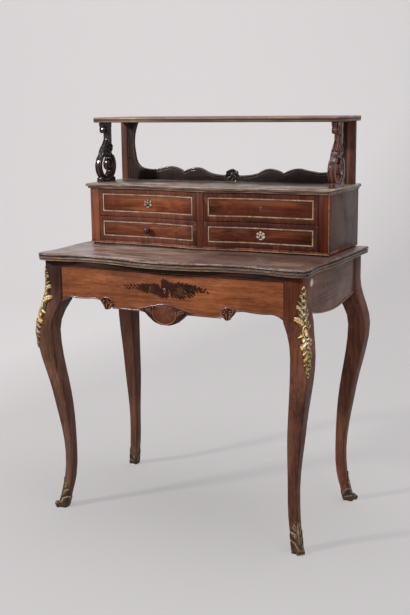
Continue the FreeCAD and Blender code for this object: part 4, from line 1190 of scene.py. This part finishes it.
def foliage_inlay(heart, face_y):
    """Dark leaf sprays let into the drawer front round its keyhole, each a hair above the last."""
    proud, let_in, layer = 0.0002, 0.0003, 0.00003
    leaf = leaf_shape(0.02)
    for order, (count, size, arms) in enumerate(INLAY_SPRAYS):
        stems = bmesh.new()
        for arm in arms:
            stem_edges(stems, *[Vector((x / 1000, heart + z / 1000)) for x, z in arm])
        sprays = piece_from(stems, "foliage_inlay_%d" % (order + 1))
        SPRAY.work(sprays, Leaf=leaf, Count=count, Size=size, Spread=0.66, Seed=order + 4, Material=INLAY)
        for vert in sprays.data.vertices:
            forward = proud if vert.co.y < 0 else -let_in
            vert.co.y = face_y(vert.co.x) - forward - layer * order
        dress(sprays, INLAY)
        carried(sprays, "main_drawer_front")
    bpy.data.objects.remove(leaf)


def inlay_rosette(name, x, z, inner, outer, lobes, finish, face_y):
    """Lobed rosette let into the drawer front, open at its heart where inner is above 0."""
    parts, lobe_depth, stretch, proud, let_in = 48, 0.16, 1.25, 0.0003, 0.0001
    bloom = bmesh.new()
    rings = []
    for reach, wave in ((inner, 0.0), (outer, lobe_depth)):
        for forward in (proud, -let_in):
            ring = []
            for i in range(parts):
                a = 2 * math.pi * i / parts
                r = reach * (1 - wave * math.cos(lobes * a))
                across = x + r * math.cos(a)
                spot = (across, face_y(across) - forward, z + stretch * r * math.sin(a))
                ring.append(bloom.verts.new(spot))
            rings.append(ring)
    for a, b in ((0, 2), (2, 3), (3, 1), (1, 0)):
        ring_wall(bloom, rings[a], rings[b])
    bmesh.ops.remove_doubles(bloom, verts=bloom.verts, dist=1e-6)
    bmesh.ops.recalc_face_normals(bloom, faces=bloom.faces)
    piece = piece_from(bloom, name)
    dress(piece, finish)
    carried(piece, "main_drawer_front")


drawer_face = drawer_face_reader()
keyhole_z = middle("main_drawer_lock").z
foliage_inlay(keyhole_z, drawer_face)
inlay_rosette("keyhole_inlay", 0.0, keyhole_z, 0.0036, 0.0125, 4, INLAY, drawer_face)
inlay_rosette("left_inlay_flower", -0.038, keyhole_z - 0.001, 0.0, 0.0075, 5, PETAL, drawer_face)
inlay_rosette("right_inlay_flower", 0.045, keyhole_z - 0.002, 0.0, 0.0095, 6, PETAL, drawer_face)
keyhole_ring("upper_right_front", "upper_right_lock", RUBBED)
keyhole_ring("main_drawer_front", "main_drawer_lock", RUBBED)


# Studio
def seen_rays(nodes):
    """1 on rays that see the studio straight, in a mirror or through glass, and 0 on rays that light."""
    path = nodes.node("ShaderNodeLightPath").outputs
    beyond = nodes.math("MAXIMUM", path["Is Glossy Ray"], path["Is Transmission Ray"])
    return nodes.math("MAXIMUM", path["Is Camera Ray"], beyond)


def studio_grey():
    """Pale grey, lighter from floor to wall, and seen partly as an even tone so that shadows stay pale."""
    f = Finish("studio_grey")
    even_share, even_strength = 0.62, 0.573
    sweep = f.node("ShaderNodeSeparateXYZ", {0: f.result("ShaderNodeUVMap", uv_map="sweep")}).outputs
    rise = ((0.26, 0.36), (0.34, 0.37), (0.42, 0.41), (0.51, 0.54), (0.6, 0.62), (0.72, 0.71))
    even = f.ramp(sweep[0], *rise)
    wall = f.ramp(sweep[1], (0.44, (1, 0.965, 0.975)), (0.51, (1.22, 1.18, 1.19)))
    grain = f.ramp(f.cloud(0.6, 2, 0.5), (0.3, 0.99), (0.7, 1.01))
    f.done(Base_Color=f.times(f.times(even, wall), grain), Roughness=0.95, Specular_IOR_Level=0.1)
    glow = f.result("ShaderNodeEmission", {"Color": wall, "Strength": even_strength})
    seen = f.math("MULTIPLY", seen_rays(f), even_share)
    blend = f.result("ShaderNodeMixShader", {0: seen, 1: f.shader.outputs[0], 2: glow})
    f.feed(f.tree.nodes["Material Output"].inputs["Surface"], blend)
    return f.mat


def sweep_backdrop():
    """Floor that turns up into a far wall, squared to the camera, with a straight and a slanted map."""
    ahead, reach, bend, width, wall_top, wall_run = 6.0, 3.2, 2.0, 9.0, 7.0, 5.0
    steps, map_length, map_slant, camera_turn = 24, 18, 1.5, 27.1
    profile = [(y, 0.0, y + ahead) for y in (-ahead, -3.0, 0.0, reach)]
    for i in range(1, steps + 1):
        a = i * math.pi / 2 / steps
        profile.append((reach + bend * math.sin(a), bend - bend * math.cos(a), reach + ahead + bend * a))
    profile.append((reach + bend, wall_top, reach + ahead + bend * math.pi / 2 + wall_run))
    bm = bmesh.new()
    sweep = bm.loops.layers.uv.new("sweep")
    left, right = [[(bm.verts.new((x, y, z)), run, run - map_slant * x) for y, z, run in profile]
                   for x in (-width, width)]
    for a in range(len(profile) - 1):
        corners = (left[a], right[a], right[a + 1], left[a + 1])
        face = bm.faces.new([corner[0] for corner in corners])
        for loop, (_, run, slant) in zip(face.loops, corners):
            loop[sweep].uv = (run / map_length, slant / map_length)
    bm.transform(Matrix.Rotation(math.radians(camera_turn), 4, "Z"))
    bm.normal_update()
    floor = piece_from(bm, "studio_floor")
    dress(floor, studio_grey(), SOFT_CREASE)


def lamp(name, place, aim, size, power, tint=(1, 1, 1)):
    """Round soft lamp turned to a point."""
    light = bpy.data.lights.new(name, "AREA")
    light.shape = "DISK"
    light.size = size
    light.energy = power
    light.color = tint
    holder = link(name, light)
    holder.location = place
    holder.rotation_euler = (Vector(aim) - Vector(place)).to_track_quat("-Z", "Y").to_euler()


def studio_air(light, seen):
    """Soft light all round, with a paler grey where the surroundings are seen or mirrored."""
    world = bpy.data.worlds.new("studio_air")
    world.use_nodes = True
    nodes = Nodes(world.node_tree)
    level = nodes.result("ShaderNodeMapRange", {"Value": seen_rays(nodes), "To Min": light, "To Max": seen})
    air = nodes.tree.nodes["Background"]
    nodes.feed(air.inputs["Color"], (1.0, 0.97, 0.98, 1))
    nodes.feed(air.inputs["Strength"], level)
    bpy.context.scene.world = world


def photo_camera():
    """Camera with the photo's place, turn and lens."""
    picture_height, focal_pixels = 615, 1015.73
    camera = bpy.data.cameras.new("photo_camera")
    camera.sensor_width = 36
    camera.lens = focal_pixels / picture_height * camera.sensor_width
    camera.clip_end = 60
    right = Vector((0.89112, 0.45363, -0.01146))
    up = Vector((-0.07895, 0.17989, 0.98052))
    view = Matrix((right, up, right.cross(up))).transposed().to_4x4()
    view.translation = (1.26585, -2.46175, 1.13116)
    holder = link("photo_camera", camera)
    holder.matrix_world = view
    bpy.context.scene.camera = holder


sweep_backdrop()
lamp("key_softbox", (-2.4, -2.7, 2.6), (0, 0, 0.6), 0.4, 150, (1.0, 0.97, 0.94))
lamp("overhead_softbox", (0.3, 0.2, 4.2), (0, 0.2, 0), 4.5, 250)
lamp("right_fill", (3.2, -2.0, 1.6), (0, 0, 0.6), 2.0, 36)
studio_air(0.16, 0.5)
photo_camera()
bpy.context.scene.view_settings.view_transform = "Standard"
